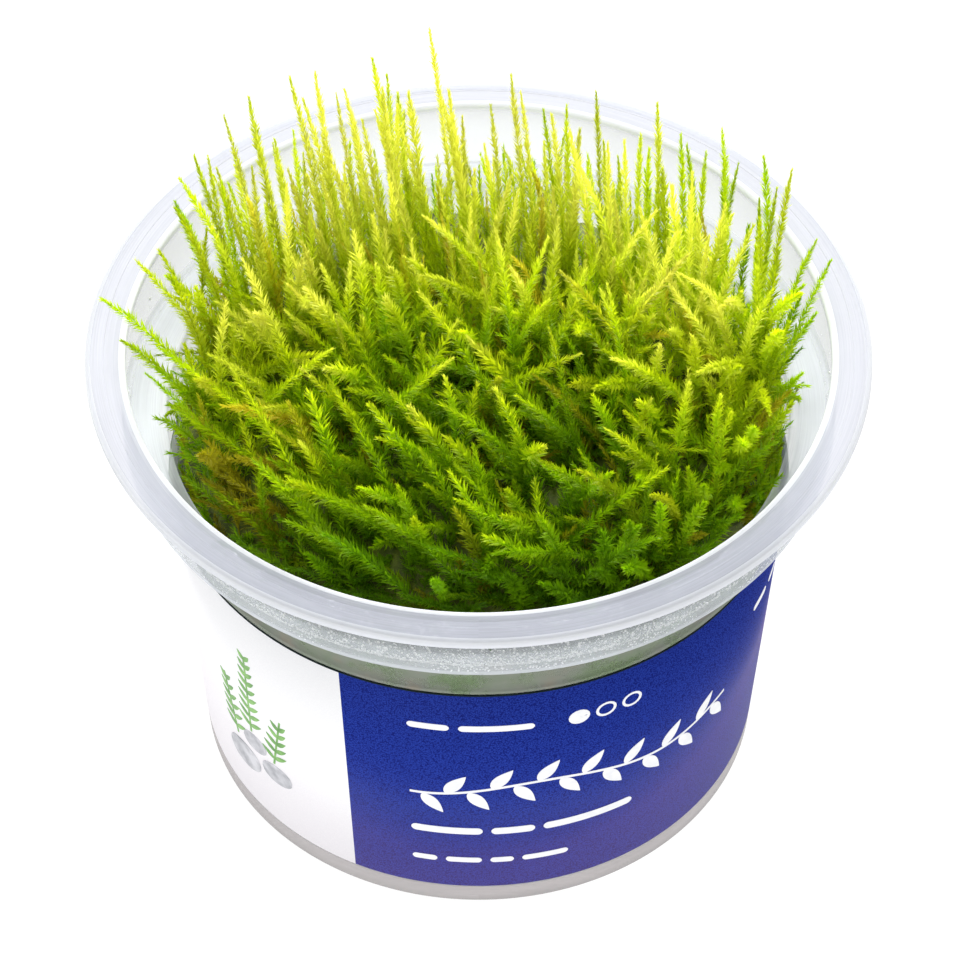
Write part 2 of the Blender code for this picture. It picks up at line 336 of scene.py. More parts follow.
# What grows behind the clear band shows as soft brown, green and pale patches: their colours, and how
# much of them shows at each height.
PATCH_SCALE = 210
PATCH_COLORS = (
    (0.36, (0.42, 0.58, 0.32)), (0.47, (0.58, 0.66, 0.52)), (0.57, (0.64, 0.68, 0.59)),
    (0.68, (0.74, 0.67, 0.55)))
PATCH_SHOWS = ((40.0, 0.0), (41.5, 0.95), (52.2, 0.95), (52.6, 0.0))
# Faint rings left by the turned mould: how close they are, how they drift round the cup, their shades.
MOULD_RINGS = 1400
MOULD_DRIFT = 0.6
MOULD_SHADES = (0.92, 1.10)
# In front a painted shade of the rim darkens the top of the collar, in its colour and in the light it lets
# through, and droplets sit on it: how dark the painted shade is, and how wide the droplets are in shares of
# their spacing.
RIM_PAINTED_SHADE = ((56.5, 0.0), (57.2, 0.80), (58.4, 0.80), (59.2, 0.10), (62.2, 0.0))
FOG = ((53.6, 0.0), (53.8, 0.38), (54.6, 0.36), (55.8, 0.20), (56.8, 0.06), (57.4, 0.0))
FOG_DENSITY = 2600
FOG_PATCH_SCALE = 130
FOG_PATCHES = ((0.36, 0.30), (0.60, 0.95))
FOG_COLOR = (0.90, 0.92, 0.94)
FOG_HAZE = 0.85
FRONT_FROM = -14 * MM
FRONT_TO = -26 * MM
# The mouth's inner edge and the lip: milkier plastic, and a painted highlight as a brighter band in their
# colour; and the flange that clears outwards from the mouth.
MOUTH_EDGE = 43.45 * MM
MOUTH_LOW = 62.9 * MM
LIP_EDGE = 46.88 * MM
# Painted highlight: a brighter band up the mouth's inner edge and the lip.
RIM_EDGE_PAINTED_HIGHLIGHT = (
    (63.2, (0.74, 0.75, 0.78)), (63.42, (0.92, 0.93, 0.95)), (63.64, (0.80, 0.81, 0.84)),
    (63.7, (0.48, 0.49, 0.52)))
LIP_HAZE = 0.78
MOUTH_HAZE = ((43.5 * MM, 45.2 * MM), (0.58, 0.40))
HAZE_CLOUD_SCALE = 60
HAZE_CLOUD = 0.08
SATIN_STRENGTH = 0.03
SATIN_DEPTH = 0.05 * MM
GLOW_SHARE = 0.35
GLOW_COLOR = (0.62, 0.64, 0.69)


def up_the_cup(nodes, links, level, stops):
    """A value or colour from (millimetres, value) stops up the cup."""
    return ramp(nodes, links, level, [(height * MM / RIM_TOP, value) for height, value in stops])


def mould_rings(nodes, links, x, y, radius):
    """Shades of the faint rings round the cup."""
    turned = nodes.new("ShaderNodeCombineXYZ")
    links.new(math_node(nodes, links, "MULTIPLY", radius, MOULD_RINGS), turned.inputs["X"])
    round_the_cup = math_node(nodes, links, "ARCTAN2", x, y)
    links.new(math_node(nodes, links, "MULTIPLY", round_the_cup, MOULD_DRIFT), turned.inputs["Y"])
    rings = nodes.new("ShaderNodeTexNoise")
    rings.inputs["Detail"].default_value = 2
    links.new(turned.outputs[0], rings.inputs["Vector"])
    return span(nodes, links, rings.outputs["Fac"], (0.3, 0.7), MOULD_SHADES)


def droplets(nodes, links, level, front):
    """Mask of the fine fog on the front of the collar."""
    patch = ramp(nodes, links, mottle(nodes, FOG_PATCH_SCALE), FOG_PATCHES)
    wide = math_node(nodes, links, "MULTIPLY", up_the_cup(nodes, links, level, FOG), patch)
    wide = math_node(nodes, links, "MULTIPLY", wide, front)
    return math_node(nodes, links, "LESS_THAN", cells(nodes, FOG_DENSITY), wide)


def plastic_haze(nodes, links, level, radius, on_rim, edge, wet):
    """How milky the plastic is: by height, near the mouth, on the lip and where droplets sit."""
    haze = up_the_cup(nodes, links, level, CUP_HAZE)
    haze = math_node(nodes, links, "MULTIPLY_ADD", mottle(nodes, HAZE_CLOUD_SCALE, 4), HAZE_CLOUD, haze)
    near_mouth = math_node(
        nodes, links, "MULTIPLY", span(nodes, links, radius, *MOUTH_HAZE), on_rim)
    haze = math_node(nodes, links, "MAXIMUM", haze, near_mouth)
    haze = math_node(nodes, links, "MAXIMUM", haze, math_node(nodes, links, "MULTIPLY", edge, LIP_HAZE))
    return math_node(nodes, links, "MAXIMUM", haze, math_node(nodes, links, "MULTIPLY", wet, FOG_HAZE))


def polypropylene():
    """Milky translucent plastic, satin outside, with a painted highlight on the mouth edge and the lip and,
    in front, a painted shade of the rim on the collar.
    """
    material, nodes, links, shader = new_material("milky_polypropylene")
    x, y, z = place(nodes, links)
    level = math_node(nodes, links, "DIVIDE", z, RIM_TOP)
    square = math_node(nodes, links, "MULTIPLY_ADD", y, y, math_node(nodes, links, "MULTIPLY", x, x))
    radius = math_node(nodes, links, "SQRT", square)
    front = span(nodes, links, y, (FRONT_FROM, FRONT_TO), (0.0, 1.0))
    on_rim = math_node(nodes, links, "GREATER_THAN", z, MOUTH_LOW)
    mouth = math_node(nodes, links, "LESS_THAN", radius, MOUTH_EDGE)
    mouth = math_node(nodes, links, "MULTIPLY", mouth, on_rim)
    lip = math_node(nodes, links, "GREATER_THAN", radius, LIP_EDGE)
    edge = math_node(nodes, links, "MAXIMUM", mouth, lip)
    wet = droplets(nodes, links, level, front)
    # Painted shade of the rim over the front of the collar, times the faint mould rings.
    shade = math_node(nodes, links, "MULTIPLY", front, up_the_cup(nodes, links, level, RIM_PAINTED_SHADE))
    shade = math_node(nodes, links, "SUBTRACT", 1.0, shade)
    shade = math_node(nodes, links, "MULTIPLY", mould_rings(nodes, links, x, y, radius), shade)
    behind = ramp(nodes, links, mottle(nodes, PATCH_SCALE, 4, 0.6), PATCH_COLORS)
    band = up_the_cup(nodes, links, level, PATCH_SHOWS)
    tint = blend(nodes, links, band, up_the_cup(nodes, links, level, CUP_TINT), behind)
    tint = scaled(nodes, links, tint, shade)
    # Painted highlight on the mouth edge and the lip.
    tint = blend(nodes, links, edge, tint, up_the_cup(nodes, links, level, RIM_EDGE_PAINTED_HIGHLIGHT))
    links.new(blend(nodes, links, wet, tint, FOG_COLOR), shader.inputs["Base Color"])
    haze = plastic_haze(nodes, links, level, radius, on_rim, edge, wet)
    links.new(haze, shader.inputs["Alpha"])
    roughen(nodes, links, shader, cells(nodes, FOG_DENSITY), SATIN_STRENGTH, SATIN_DEPTH)
    shader.inputs["Roughness"].default_value = 0.4
    shader.inputs["IOR"].default_value = 1.49
    shader.inputs["Specular IOR Level"].default_value = 0.22
    # The light let through is darkened by the same painted shade.
    glow = scaled(nodes, links, GLOW_COLOR, shade)
    let_light_through(nodes, links, shader, GLOW_SHARE, glow, haze)
    return material


def build_cup():
    """The turned cup, closed by a disc under the middle of its floor."""
    cup = new_edit_circle("culture_cup", GATE_MARK_RADIUS, FLOOR_TOP, CUP_SIDES)
    last = draw_rings(cup_outline(), (GATE_MARK_RADIUS, FLOOR_TOP))
    draw_rings([(GATE_MARK_RADIUS, FOOT_RECESS)], last)
    bpy.ops.mesh.edge_face_add()
    finish_mesh(CUP_SMOOTH_ANGLE)
    cup.data.materials.append(polypropylene())
    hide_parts("cup")
    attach(cup, "root")


build_cup()


# Condensation. Beads of water on the inside of the collar, thickest just over the ledge. Each is a
# flattened dome that sits on the wall.
BEAD_COUNT = 2400
BEAD_LOW = 53.9 * MM
BEAD_HIGH = 61.5 * MM
BEAD_THINNING = 3.6
BEAD_SMALL = 0.09 * MM
BEAD_LARGE = 0.24 * MM
BEAD_RARITY = 3
BEAD_FLATNESS = 0.55
BEAD_SINK = 0.02 * MM
BEAD_SPREAD = 0.62
BEAD_SEED = 5
UP = Vector((0, 0, 1))


def water():
    """Clear drops with a faint ripple."""
    material, nodes, links, shader = new_material("condensation")
    shade = ramp(nodes, links, mottle(nodes, 900), ((0.0, (0.90, 0.92, 0.92)), (1.0, (0.98, 0.99, 0.99))))
    links.new(shade, shader.inputs["Base Color"])
    shader.inputs["Roughness"].default_value = 0.1
    shader.inputs["IOR"].default_value = 1.33
    shader.inputs["Alpha"].default_value = 0.9
    return material


def bead_shape():
    """Points and sides of one small round bead, a radius of 1 across."""
    bpy.ops.object.select_all(action="DESELECT")
    bpy.ops.mesh.primitive_ico_sphere_add(subdivisions=1, radius=1.0)
    bead = bpy.context.object
    points = [vertex.co.copy() for vertex in bead.data.vertices]
    sides = [tuple(side.vertices) for side in bead.data.polygons]
    bpy.data.objects.remove(bead, do_unlink=True)
    return points, sides


def build_beads():
    """All the beads as one mesh, gathered towards the front."""
    rng = random.Random(BEAD_SEED)
    bead_points, bead_sides = bead_shape()
    points = []
    sides = []
    for _ in range(BEAD_COUNT):
        angle = rng.gauss(-math.pi / 2, BEAD_SPREAD)
        height = BEAD_LOW + (BEAD_HIGH - BEAD_LOW) * rng.random() ** BEAD_THINNING
        size = BEAD_SMALL + (BEAD_LARGE - BEAD_SMALL) * rng.random() ** BEAD_RARITY
        out = Vector((math.cos(angle), math.sin(angle), 0))
        along = Vector((-out.y, out.x, 0))
        middle = out * (COLLAR_RADIUS - COLLAR_WALL - BEAD_SINK)
        middle.z = height
        start = len(points)
        for co in bead_points:
            spot = middle + (along * co.x + UP * co.y) * size
            points.append(spot + out * (co.z * size * BEAD_FLATNESS))
        sides += [tuple(start + corner for corner in side) for side in bead_sides]
    mesh = bpy.data.meshes.new("condensation_beads")
    mesh.from_pydata(points, [], sides)
    mesh.shade_smooth()
    beads = bpy.data.objects.new("condensation_beads", mesh)
    bpy.context.scene.collection.objects.link(beads)
    beads.data.materials.append(water())
    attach(beads, "root")


build_beads()


# Nutrient gel. Agar set on the floor of the cup, pale beige and cloudy, seen as the band under the label.
# It is a plain disc with a raised edge, so the CAD solid stays and gets its finish here.
AGAR_COLORS = ((0.35, (0.56, 0.48, 0.42)), (0.7, (0.70, 0.64, 0.58)))


def agar():
    """Cloudy set agar."""
    material, nodes, links, shader = new_material("cloudy_agar")
    links.new(ramp(nodes, links, mottle(nodes, 140, 5), AGAR_COLORS), shader.inputs["Base Color"])
    shader.inputs["Roughness"].default_value = 0.2
    return material


def dress(node, material):
    """Gives a CAD node its finish."""
    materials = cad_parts[node].data.materials
    materials.clear()
    materials.append(material)


dress("nutrient_gel", agar())


# Label. A thin printed film laid in a shallow panel of the wall, with its seam at the back: white on the
# left, blue from the front round the right, in a fine print screen with a soft violet sheen.
LABEL_SIDES = 360
LABEL_THICKNESS = 0.15 * MM
BLUE_START = math.radians(-25.8)
BLUE_INK = ((0.12, (0.020, 0.055, 0.42)), (0.75, (0.002, 0.010, 0.165)))
PAPER = ((0.0, (0.90, 0.90, 0.92)), (1.0, (0.96, 0.96, 0.97)))
# A painted shadow line along the upper edge of the label, where it meets the panel: its width and colour.
PAINTED_SHADOW_LINE_WIDTH = 0.14 * MM
LABEL_EDGE_PAINTED_SHADOW = (0.010, 0.020, 0.024)
SCREEN_DENSITY = 5000
SCREEN_STRENGTH = 0.15
SCREEN_DEPTH = 0.01 * MM


def label_print():
    """Blue ink and white paper in a fine screen, with a painted shadow line along the upper edge."""
    material, nodes, links, shader = new_material("printed_film")
    x, y, z = place(nodes, links)
    angle = math_node(nodes, links, "ARCTAN2", x, math_node(nodes, links, "MULTIPLY", y, -1.0))
    blue = math_node(nodes, links, "GREATER_THAN", angle, BLUE_START)
    dots = cells(nodes, SCREEN_DENSITY)
    paper = ramp(nodes, links, dots, PAPER)
    halves = blend(nodes, links, blue, paper, ramp(nodes, links, dots, BLUE_INK))
    # Painted shadow line along the upper edge.
    edge = math_node(nodes, links, "GREATER_THAN", z, LABEL_HIGH - PAINTED_SHADOW_LINE_WIDTH)
    links.new(blend(nodes, links, edge, halves, LABEL_EDGE_PAINTED_SHADOW), shader.inputs["Base Color"])
    roughen(nodes, links, shader, dots, SCREEN_STRENGTH, SCREEN_DEPTH)
    shader.inputs["Roughness"].default_value = 0.5
    shader.inputs["Specular IOR Level"].default_value = 0.08
    shader.inputs["Sheen Weight"].default_value = 0.09
    shader.inputs["Sheen Roughness"].default_value = 0.3
    shader.inputs["Sheen Tint"].default_value = (0.95, 0.45, 0.85, 1)
    return material


def build_label():
    """An open-ended cone, cut at the back for the seam and given its thickness inwards."""
    bpy.ops.object.select_all(action="DESELECT")
    bpy.ops.mesh.primitive_cone_add(
        vertices=LABEL_SIDES, radius1=wall_radius(LABEL_LOW), radius2=wall_radius(LABEL_HIGH),
        depth=LABEL_HIGH - LABEL_LOW, end_fill_type="NOTHING",
        location=(0, 0, (LABEL_HIGH + LABEL_LOW) / 2))
    label = bpy.context.object
    label.name = "printed_label"
    label.data.name = "printed_label"
    bpy.ops.object.mode_set(mode="EDIT")
    bpy.ops.mesh.select_mode(type="FACE")
    bpy.ops.mesh.select_all(action="DESELECT")
    bpy.ops.object.mode_set(mode="OBJECT")
    back = max(label.data.polygons, key=lambda face: face.center.y - abs(face.center.x))
    back.select = True
    bpy.ops.object.mode_set(mode="EDIT")
    bpy.ops.mesh.delete(type="ONLY_FACE")
    bpy.ops.mesh.select_mode(type="VERT")
    finish_mesh()
    film = label.modifiers.new("Film", "SOLIDIFY")
    film.thickness = LABEL_THICKNESS
    film.offset = -1.0
    bpy.ops.object.modifier_apply(modifier=film.name)
    label.data.materials.append(label_print())
    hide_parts("label")
    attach(label, "root")


build_label()


# Label marks. Plain generic motifs in white, blue, green and grey ink on the film: a trailing vine, rating
# rings, bars in place of lettering, and on the white part pebbles with small sprigs. Each mark is a thin
# stroke wrapped round the label, drawn at (round the label from the front, height) points in millimetres.
INK_THICKNESS = 0.05 * MM
INK_LIFT = 0.03 * MM
STROKE_STEP = 0.2
STROKE_FEWEST = 8
STROKE_LEAST = 0.02
STROKE_ACROSS = (-1, -0.5, 0, 0.5, 1)
LABEL_MEAN_RADIUS = 37.0
DEGREES_PER_MM = 57.2958 / LABEL_MEAN_RADIUS
BAR_GAP = 1.1
BAR_END = 0.06


def on_label(degrees, height, lift):
    """Point on the label's outside at this angle from the front, height in millimetres."""
    radius = wall_radius(height * MM) + lift
    angle = math.radians(degrees)
    return Vector((radius * math.sin(angle), -radius * math.cos(angle), height * MM))


def add_stroke(strokes, points, width_at):
    """Adds the even steps along a line of points, with the stroke's width at each step."""
    legs = [math.dist(a, b) for a, b in zip(points, points[1:])]
    steps = max(STROKE_FEWEST, round(sum(legs) / STROKE_STEP))
    path = []
    for step in range(steps + 1):
        reach = step / steps * sum(legs)
        for (a, b), leg in zip(zip(points, points[1:]), legs):
            if reach <= leg or (a, b) == (points[-2], points[-1]):
                share = min(reach / leg, 1.0)
                path.append((a[0] + (b[0] - a[0]) * share, a[1] + (b[1] - a[1]) * share))
                break
            reach -= leg
    strokes.append((path, [width_at(step / steps) for step in range(steps + 1)]))


def stem_width(width):
    """A stem of even width."""
    return lambda t: width


def bar_width(width, length):
    """A bar with round ends."""
    def width_at(t):
        inside = min(t, 1 - t) * length / (width / 2)
        return width * math.sqrt(max(BAR_END, 1 - max(0.0, 1 - inside) ** 2))
    return width_at


def leaf_width(width):
    """A leaf with a rounded foot and a pointed end."""
    return lambda t: width * math.sin(math.pi * t ** 0.75) ** 0.9 + STROKE_LEAST


def pebble_width(width):
    """A flattened pebble."""
    return lambda t: width * math.sqrt(max(0.0, 1 - (2 * t - 1) ** 2)) ** 0.9 + STROKE_LEAST


def bars(strokes, start, height, lengths, width):
    """A row of bars that stands for a line of words."""
    for length in lengths:
        add_stroke(strokes, [(start, height), (start + length, height)], bar_width(width, length))
        start += length + BAR_GAP


def small_print(strokes, start, heights, odd, even, width):
    """Rows of bars that stand for a block of small print."""
    for row, height in enumerate(heights):
        bars(strokes, start, height, odd if row % 2 else even, width)


def ring_of(strokes, middle, height, radius, width):
    """A ring, or a dot where the width is twice the radius."""
    points = []
    for step in range(RING_STEPS + 1):
        turn = math.tau * step / RING_STEPS
        points.append((middle + radius * math.cos(turn), height + radius * math.sin(turn)))
    strokes.append((points, [width] * len(points)))


def stroke_rows(bm, path, widths):
    """Rows of points across a stroke, laid on the label."""
    rows = []
    for index, (u, v) in enumerate(path):
        before = path[max(index - 1, 0)]
        after = path[min(index + 1, len(path) - 1)]
        way = Vector((after[0] - before[0], after[1] - before[1]))
        way.normalize()
        side = Vector((-way.y, way.x)) * widths[index] / 2
        row = []
        for share in STROKE_ACROSS:
            spot = on_label((u + side.x * share) * DEGREES_PER_MM, v + side.y * share, INK_LIFT)
            row.append(bm.verts.new(spot))
        rows.append(row)
    return rows


def build_marks(name, strokes, material):
    """One thin mesh of all the strokes of one ink."""
    bm = bmesh.new()
    for path, widths in strokes:
        rows = stroke_rows(bm, path, widths)
        for low, high in zip(rows, rows[1:]):
            for a, b, c, d in zip(low, low[1:], high[1:], high):
                bm.faces.new((a, b, c, d))
    mesh = bpy.data.meshes.new(name)
    bmesh.ops.recalc_face_normals(bm, faces=bm.faces)
    for face in bm.faces:
        middle = face.calc_center_median()
        if face.normal.xy.dot(middle.xy) < 0:
            face.normal_flip()
    bm.to_mesh(mesh)
    bm.free()
    marks = bpy.data.objects.new(name, mesh)
    bpy.context.scene.collection.objects.link(marks)
    bpy.ops.object.select_all(action="DESELECT")
    marks.select_set(True)
    bpy.context.view_layer.objects.active = marks
    film = marks.modifiers.new("Ink", "SOLIDIFY")
    film.thickness = INK_THICKNESS
    film.offset = 0.0
    bpy.ops.object.modifier_apply(modifier=film.name)
    mesh.materials.append(material)
    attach(marks, "root")


def ink(name, dark, light, scale=900):
    """Printing ink with a little mottle."""
    material, nodes, links, shader = new_material(name)
    shade = ramp(nodes, links, mottle(nodes, scale, 4), ((0.35, dark), (0.65, light)))
    links.new(shade, shader.inputs["Base Color"])
    shader.inputs["Roughness"].default_value = 0.42
    return material


# The vine: a wavy stem with leaves to both sides, from the left margin round to the right.
MARGIN = -8.5
VINE_LENGTH = 44.0
VINE_HEIGHT = 24.0
VINE_SWING = 1.1
VINE_WAVE = 5.2
VINE_STEPS = 30
VINE_STEM = 0.42
VINE_LEAVES = 15
VINE_FIRST_LEAF = -7.0
VINE_LEAF_SPACING = 2.85
VINE_LEAF_FOOT = 0.2
VINE_LEAF_REACH = 2.6
VINE_LEAF_RISE = 3.7
VINE_LEAF_WIDTH = 1.8
# The rating: three rings with the first one filled, and one ring more to the right.
RING_STEPS = 16
RING_RADIUS = 1.15
RING_WIDTH = 0.36
RINGS = ((12.0, 36.8), (15.4, 36.8), (18.8, 36.8), (52.0, 34.5))
DOT_RADIUS = 0.5
# Bars as (start, height, lengths, width), and the blocks of small print at the back.
FRONT_BARS = (
    (MARGIN, 15.4, (9.0, 5.5, 12.0), 1.3), (MARGIN, 36.8, (5.0, 9.0), 1.1),
    (41.0, 34.5, (4.0, 3.0), 1.1), (MARGIN, 9.2, (3.2, 4.6, 3.0, 6.0), 1.0))
PRINT_WIDTH = 0.9
WHITE_PRINT_START = 72.0
WHITE_PRINT_HEIGHTS = (37.0, 34.2, 31.4, 28.6, 22.8, 20.0, 17.2)
BLUE_PRINT_START = -104.0
BLUE_PRINT_HEIGHTS = (36.0, 33.2, 30.4, 27.6, 21.8, 19.0)
# Pebbles as (middle, height, length, width), and sprigs as (foot, height of the foot, tall, lean).
PEBBLES = ((-35.0, 12.0, 6.8, 4.6), (-28.4, 13.6, 5.4, 3.6), (-32.2, 16.8, 4.6, 3.2))
PEBBLE_TILT = 0.4
SPRIGS = ((-36.0, 15.5, 11.0, -0.12), (-32.6, 19.0, 15.5, 0.04), (-28.6, 16.0, 10.0, 0.20))
SPRIG_STEM = 0.30
NEEDLE_FIRST = 1.2
NEEDLE_SPACING = 1.7
NEEDLE_LONG = 2.3
NEEDLE_SHORTENING = 1.3
NEEDLE_RISE = 1.3
NEEDLE_WIDTH = 0.75


def vine_height(u):
    """Height of the vine's stem at this place round the label."""
    return VINE_HEIGHT + VINE_SWING * math.sin(u / VINE_WAVE)


def add_vine(strokes):
    """The stem, and leaves to both sides in turn."""
    stem = []
    for step in range(VINE_STEPS + 1):
        u = MARGIN + VINE_LENGTH * step / VINE_STEPS
        stem.append((u, vine_height(u)))
    add_stroke(strokes, stem, stem_width(VINE_STEM))
    for index in range(VINE_LEAVES):
        u = VINE_FIRST_LEAF + VINE_LEAF_SPACING * index
        v = vine_height(u)
        side = 1 if index % 2 else -1
        foot = (u, v + VINE_LEAF_FOOT * side)
        tip = (u + VINE_LEAF_REACH, v + VINE_LEAF_RISE * side)
        add_stroke(strokes, [foot, tip], leaf_width(VINE_LEAF_WIDTH))


def add_sprig(strokes, place_round, foot, tall, lean):
    """A leaning stem with pairs of needles that shorten upwards."""
    top = (place_round + lean * tall, foot + tall)
    add_stroke(strokes, [(place_round, foot), top], stem_width(SPRIG_STEM))
    for pair in range(int(tall / NEEDLE_SPACING)):
        rise = NEEDLE_FIRST + NEEDLE_SPACING * pair
        reach = NEEDLE_LONG - NEEDLE_SHORTENING * rise / tall
        root = (place_round + lean * rise, foot + rise)
        for side in (-1, 1):
            tip = (root[0] + reach * side, root[1] + NEEDLE_RISE)
            add_stroke(strokes, [root, tip], leaf_width(NEEDLE_WIDTH))


def build_label_marks():
    """The marks of each ink, front and back."""
    white = []
    add_vine(white)
    for row in FRONT_BARS:
        bars(white, *row)
    for middle, height in RINGS:
        ring_of(white, middle, height, RING_RADIUS, RING_WIDTH)
    ring_of(white, *RINGS[0], DOT_RADIUS, 2 * DOT_RADIUS)
    small_print(
        white, WHITE_PRINT_START, WHITE_PRINT_HEIGHTS, (8.0, 5.0, 11.0, 6.0), (5.0, 12.0, 7.0), PRINT_WIDTH)
    build_marks("label_white_marks", white, ink("white_ink", (0.86, 0.87, 0.90), (0.95, 0.95, 0.96)))
    grey = []
    for middle, height, length, width in PEBBLES:
        ends = [(middle - length / 2, height), (middle + length / 2, height + PEBBLE_TILT)]
        add_stroke(grey, ends, pebble_width(width))
    build_marks("label_grey_pebbles", grey, ink("grey_ink", (0.30, 0.31, 0.34), (0.66, 0.66, 0.70), 420))
    green = []
    for sprig in SPRIGS:
        add_sprig(green, *sprig)
    build_marks("label_green_sprigs", green, ink("green_ink", (0.10, 0.30, 0.05), (0.24, 0.52, 0.12), 600))
    blue = []
    small_print(
        blue, BLUE_PRINT_START, BLUE_PRINT_HEIGHTS, (9.0, 6.0, 12.0, 5.0), (6.0, 13.0, 8.0), PRINT_WIDTH)
    build_marks("label_blue_marks", blue, ink("blue_ink", (0.02, 0.03, 0.24), (0.05, 0.07, 0.34)))


build_label_marks()


# Tangle. The old brown-green growth that fills the cup between the shoots, seen only in the gaps: one
# lumpy mass, drawn as rings of (radius, height) in millimetres from its top down to the gel.
TANGLE_TOP_RADIUS = 6.0
TANGLE_RINGS = (
    (20.0, 58.5), (31.0, 57.0), (36.2, 51.5), (36.0, 49.0), (34.4, 22.0), (33.6, 10.5), (31.3, 9.0))
TANGLE_SIDES = 96
TANGLE_CUTS = 2
LUMP_SIZE = 3.0 * MM
LUMP_HEIGHT = 2.0 * MM
LUMP_LEVEL = 0.75
TANGLE_COLORS = (
    (0.30, (0.030, 0.045, 0.002)), (0.55, (0.100, 0.130, 0.004)), (0.72, (0.220, 0.260, 0.015)))


def old_leaves():
    """Old leaves in the depth of the cushion: dark olive with brown and green flecks."""
    material, nodes, links, shader = new_material("moss_tangle")
    fleck = mottle(nodes, 420, 6, 0.7)
    links.new(ramp(nodes, links, fleck, TANGLE_COLORS), shader.inputs["Base Color"])
    roughen(nodes, links, shader, fleck, 1.0, 0.4 * MM)
    shader.inputs["Roughness"].default_value = 0.7
    return material


def build_tangle():
    """The dark mass between the shoots, lumpy on top."""
    top = (TANGLE_TOP_RADIUS * MM, TANGLE_RINGS[0][1] * MM)
    tangle = new_edit_circle("moss_tangle", *top, TANGLE_SIDES)
    draw_rings([(radius * MM, height * MM) for radius, height in TANGLE_RINGS], top)
    bpy.ops.mesh.edge_face_add()
    bpy.ops.mesh.select_all(action="SELECT")
    bpy.ops.mesh.subdivide(number_cuts=TANGLE_CUTS)
    finish_mesh()
    lumps = bpy.data.textures.new("tangle_lumps", "CLOUDS")
    lumps.noise_scale = LUMP_SIZE
    swell = tangle.modifiers.new("Lumps", "DISPLACE")
    swell.texture = lumps
    swell.strength = LUMP_HEIGHT
    swell.mid_level = LUMP_LEVEL
    bpy.context.view_layer.objects.active = tangle
    bpy.ops.object.modifier_apply(modifier=swell.name)
    tangle.data.materials.append(old_leaves())
    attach(tangle, "root")


build_tangle()


# Moss. One cushion of more than a thousand leafy shoots grown up from the gel: they stand up at the back
# and sweep over to the left in front. Each shoot is a fine stem set all round with narrow pointed leaves,
# made as arrays and joined into one mesh for each part of the cushion.

# Tips of the long shoots round the back and sides, as x, y, z in millimetres.
TALL_TIPS = (
    (-45.0, 0, 71.5), (-42.5, -4, 68.4), (-41.0, 4, 74.0), (-36.5, 10, 77.0), (-36.0, 14, 78.0),
    (-34.5, 19, 77.0), (-31.0, 24, 79.0), (-28.0, 26, 80.0), (-23.0, 28, 81.5), (-20.0, 30, 80.5),
    (-17.5, 30, 77.0), (-13.0, 32, 81.0), (-10.0, 30, 75.0), (-6.0, 33, 85.0), (-2.0, 28, 75.0),
    (4.0, 34, 76.5), (9.0, 30, 73.5), (14.5, 32, 75.5), (18.0, 28, 71.0), (22.0, 30, 75.5),
    (25.0, 29, 71.0), (30.0, 28, 73.0), (35.0, 24, 72.0), (38.0, 18, 75.5), (41.0, 12, 69.5),
    (42.5, 8, 70.0), (40.5, 1, 68.0), (38.5, -8, 67.0),
    (-15.7, 31, 72.3), (-10.0, 33, 74.2), (-3.7, 34, 73.9), (-25.3, 26, 72.4), (1.5, 33, 72.4),
    (5.2, 32, 75.5), (10.9, 33, 72.2), (15.5, 30, 69.1), (17.3, 29, 67.3), (25.9, 30, 68.3),
    (33.3, 20, 64.2), (39.0, 6, 66.0), (-39.6, -8, 67.0),
    (-0.5, 28, 66.0), (16.7, 26, 65.4), (26.5, 25, 63.8), (0.7, 30, 68.5), (-7.8, 27, 66.6),
    (-18.6, 27, 66.2), (8.1, 30, 68.9), (21.2, 30, 67.8), (22.3, 26, 67.3), (30.4, 28, 68.0),
    (34.6, 22, 66.9), (-29.9, 22, 75.1), (-32.2, 18, 74.7), (-35.6, 12, 73.7), (-38.5, 8, 71.7),
    (-36.8, 15, 73.0), (-33.0, 21, 75.0), (-27.5, 25, 77.0),
    (-25.0, 25, 74.0), (-21.5, 28, 78.0), (-19.2, 26, 74.0), (-16.4, 29, 78.5), (-14.3, 28, 74.5),
    (-11.8, 30, 78.0), (-8.6, 30, 77.0), (-5.0, 30, 78.0), (-23.4, 23, 71.0), (-30.6, 20, 71.5),
    (12.5, 30, 71.0), (20.0, 28, 72.0), (28.0, 26, 71.0), (32.0, 25, 70.0), (36.5, 20, 70.5),
)
# Tips of the shoots that stand clear over the middle and the front.
SHORT_TIPS = (
    (4, 3, 73.5), (-1, -8, 72.5), (-4, -13, 71.5), (2, -14.5, 71), (16, -10.5, 72), (-8, -17, 70.5),
    (7.5, -22.5, 69.5), (-7.5, -31, 66.5), (1, -33.5, 66), (17.5, -31.5, 66.5), (17, -37, 64.5),
    (-26.5, -4, 73), (-20.5, 0, 73), (-11, -1.5, 73), (-18, -11.5, 71.5), (-22, -31.5, 66.5),
    (-13, -30, 67.5), (-22, -27, 68.5),
)
# The kinds of shoot, and for each kind: how far it rises from root to tip, how much it strays from the
# common lean, its size, how fresh its end is, and how many leaves it has for each millimetre.
TALL, SHORT, UPPER, UNDER, WALLSIDE, TUFT = range(6)
RISES = np.array([27.0, 18.0, 18.0, 14.0, 12.0, 5.0])
STRAYS = np.array([0.10, 0.50, 0.72, 0.85, 0.20, 0.9])
SIZES = np.array([0.93, 1.20, 1.0, 1.0, 0.9, 1.0])
# The wall shoots are fresher than their depth would make them: painted light in the shade of the wall.
VIGOURS = np.array([0.62, 1.0, 0.62, 0.30, 0.55, 0.2])
LEAVES_PER_MM = np.array([17.0, 18.0, 16.0, 10.0, 9.0, 9.0])
MOSS_SEED = 23


# The highest young growth over the axis, and how it changes to the back and to the front.
SURFACE = 75.0
SURFACE_BACK = 0.06
SURFACE_FRONT = 0.25


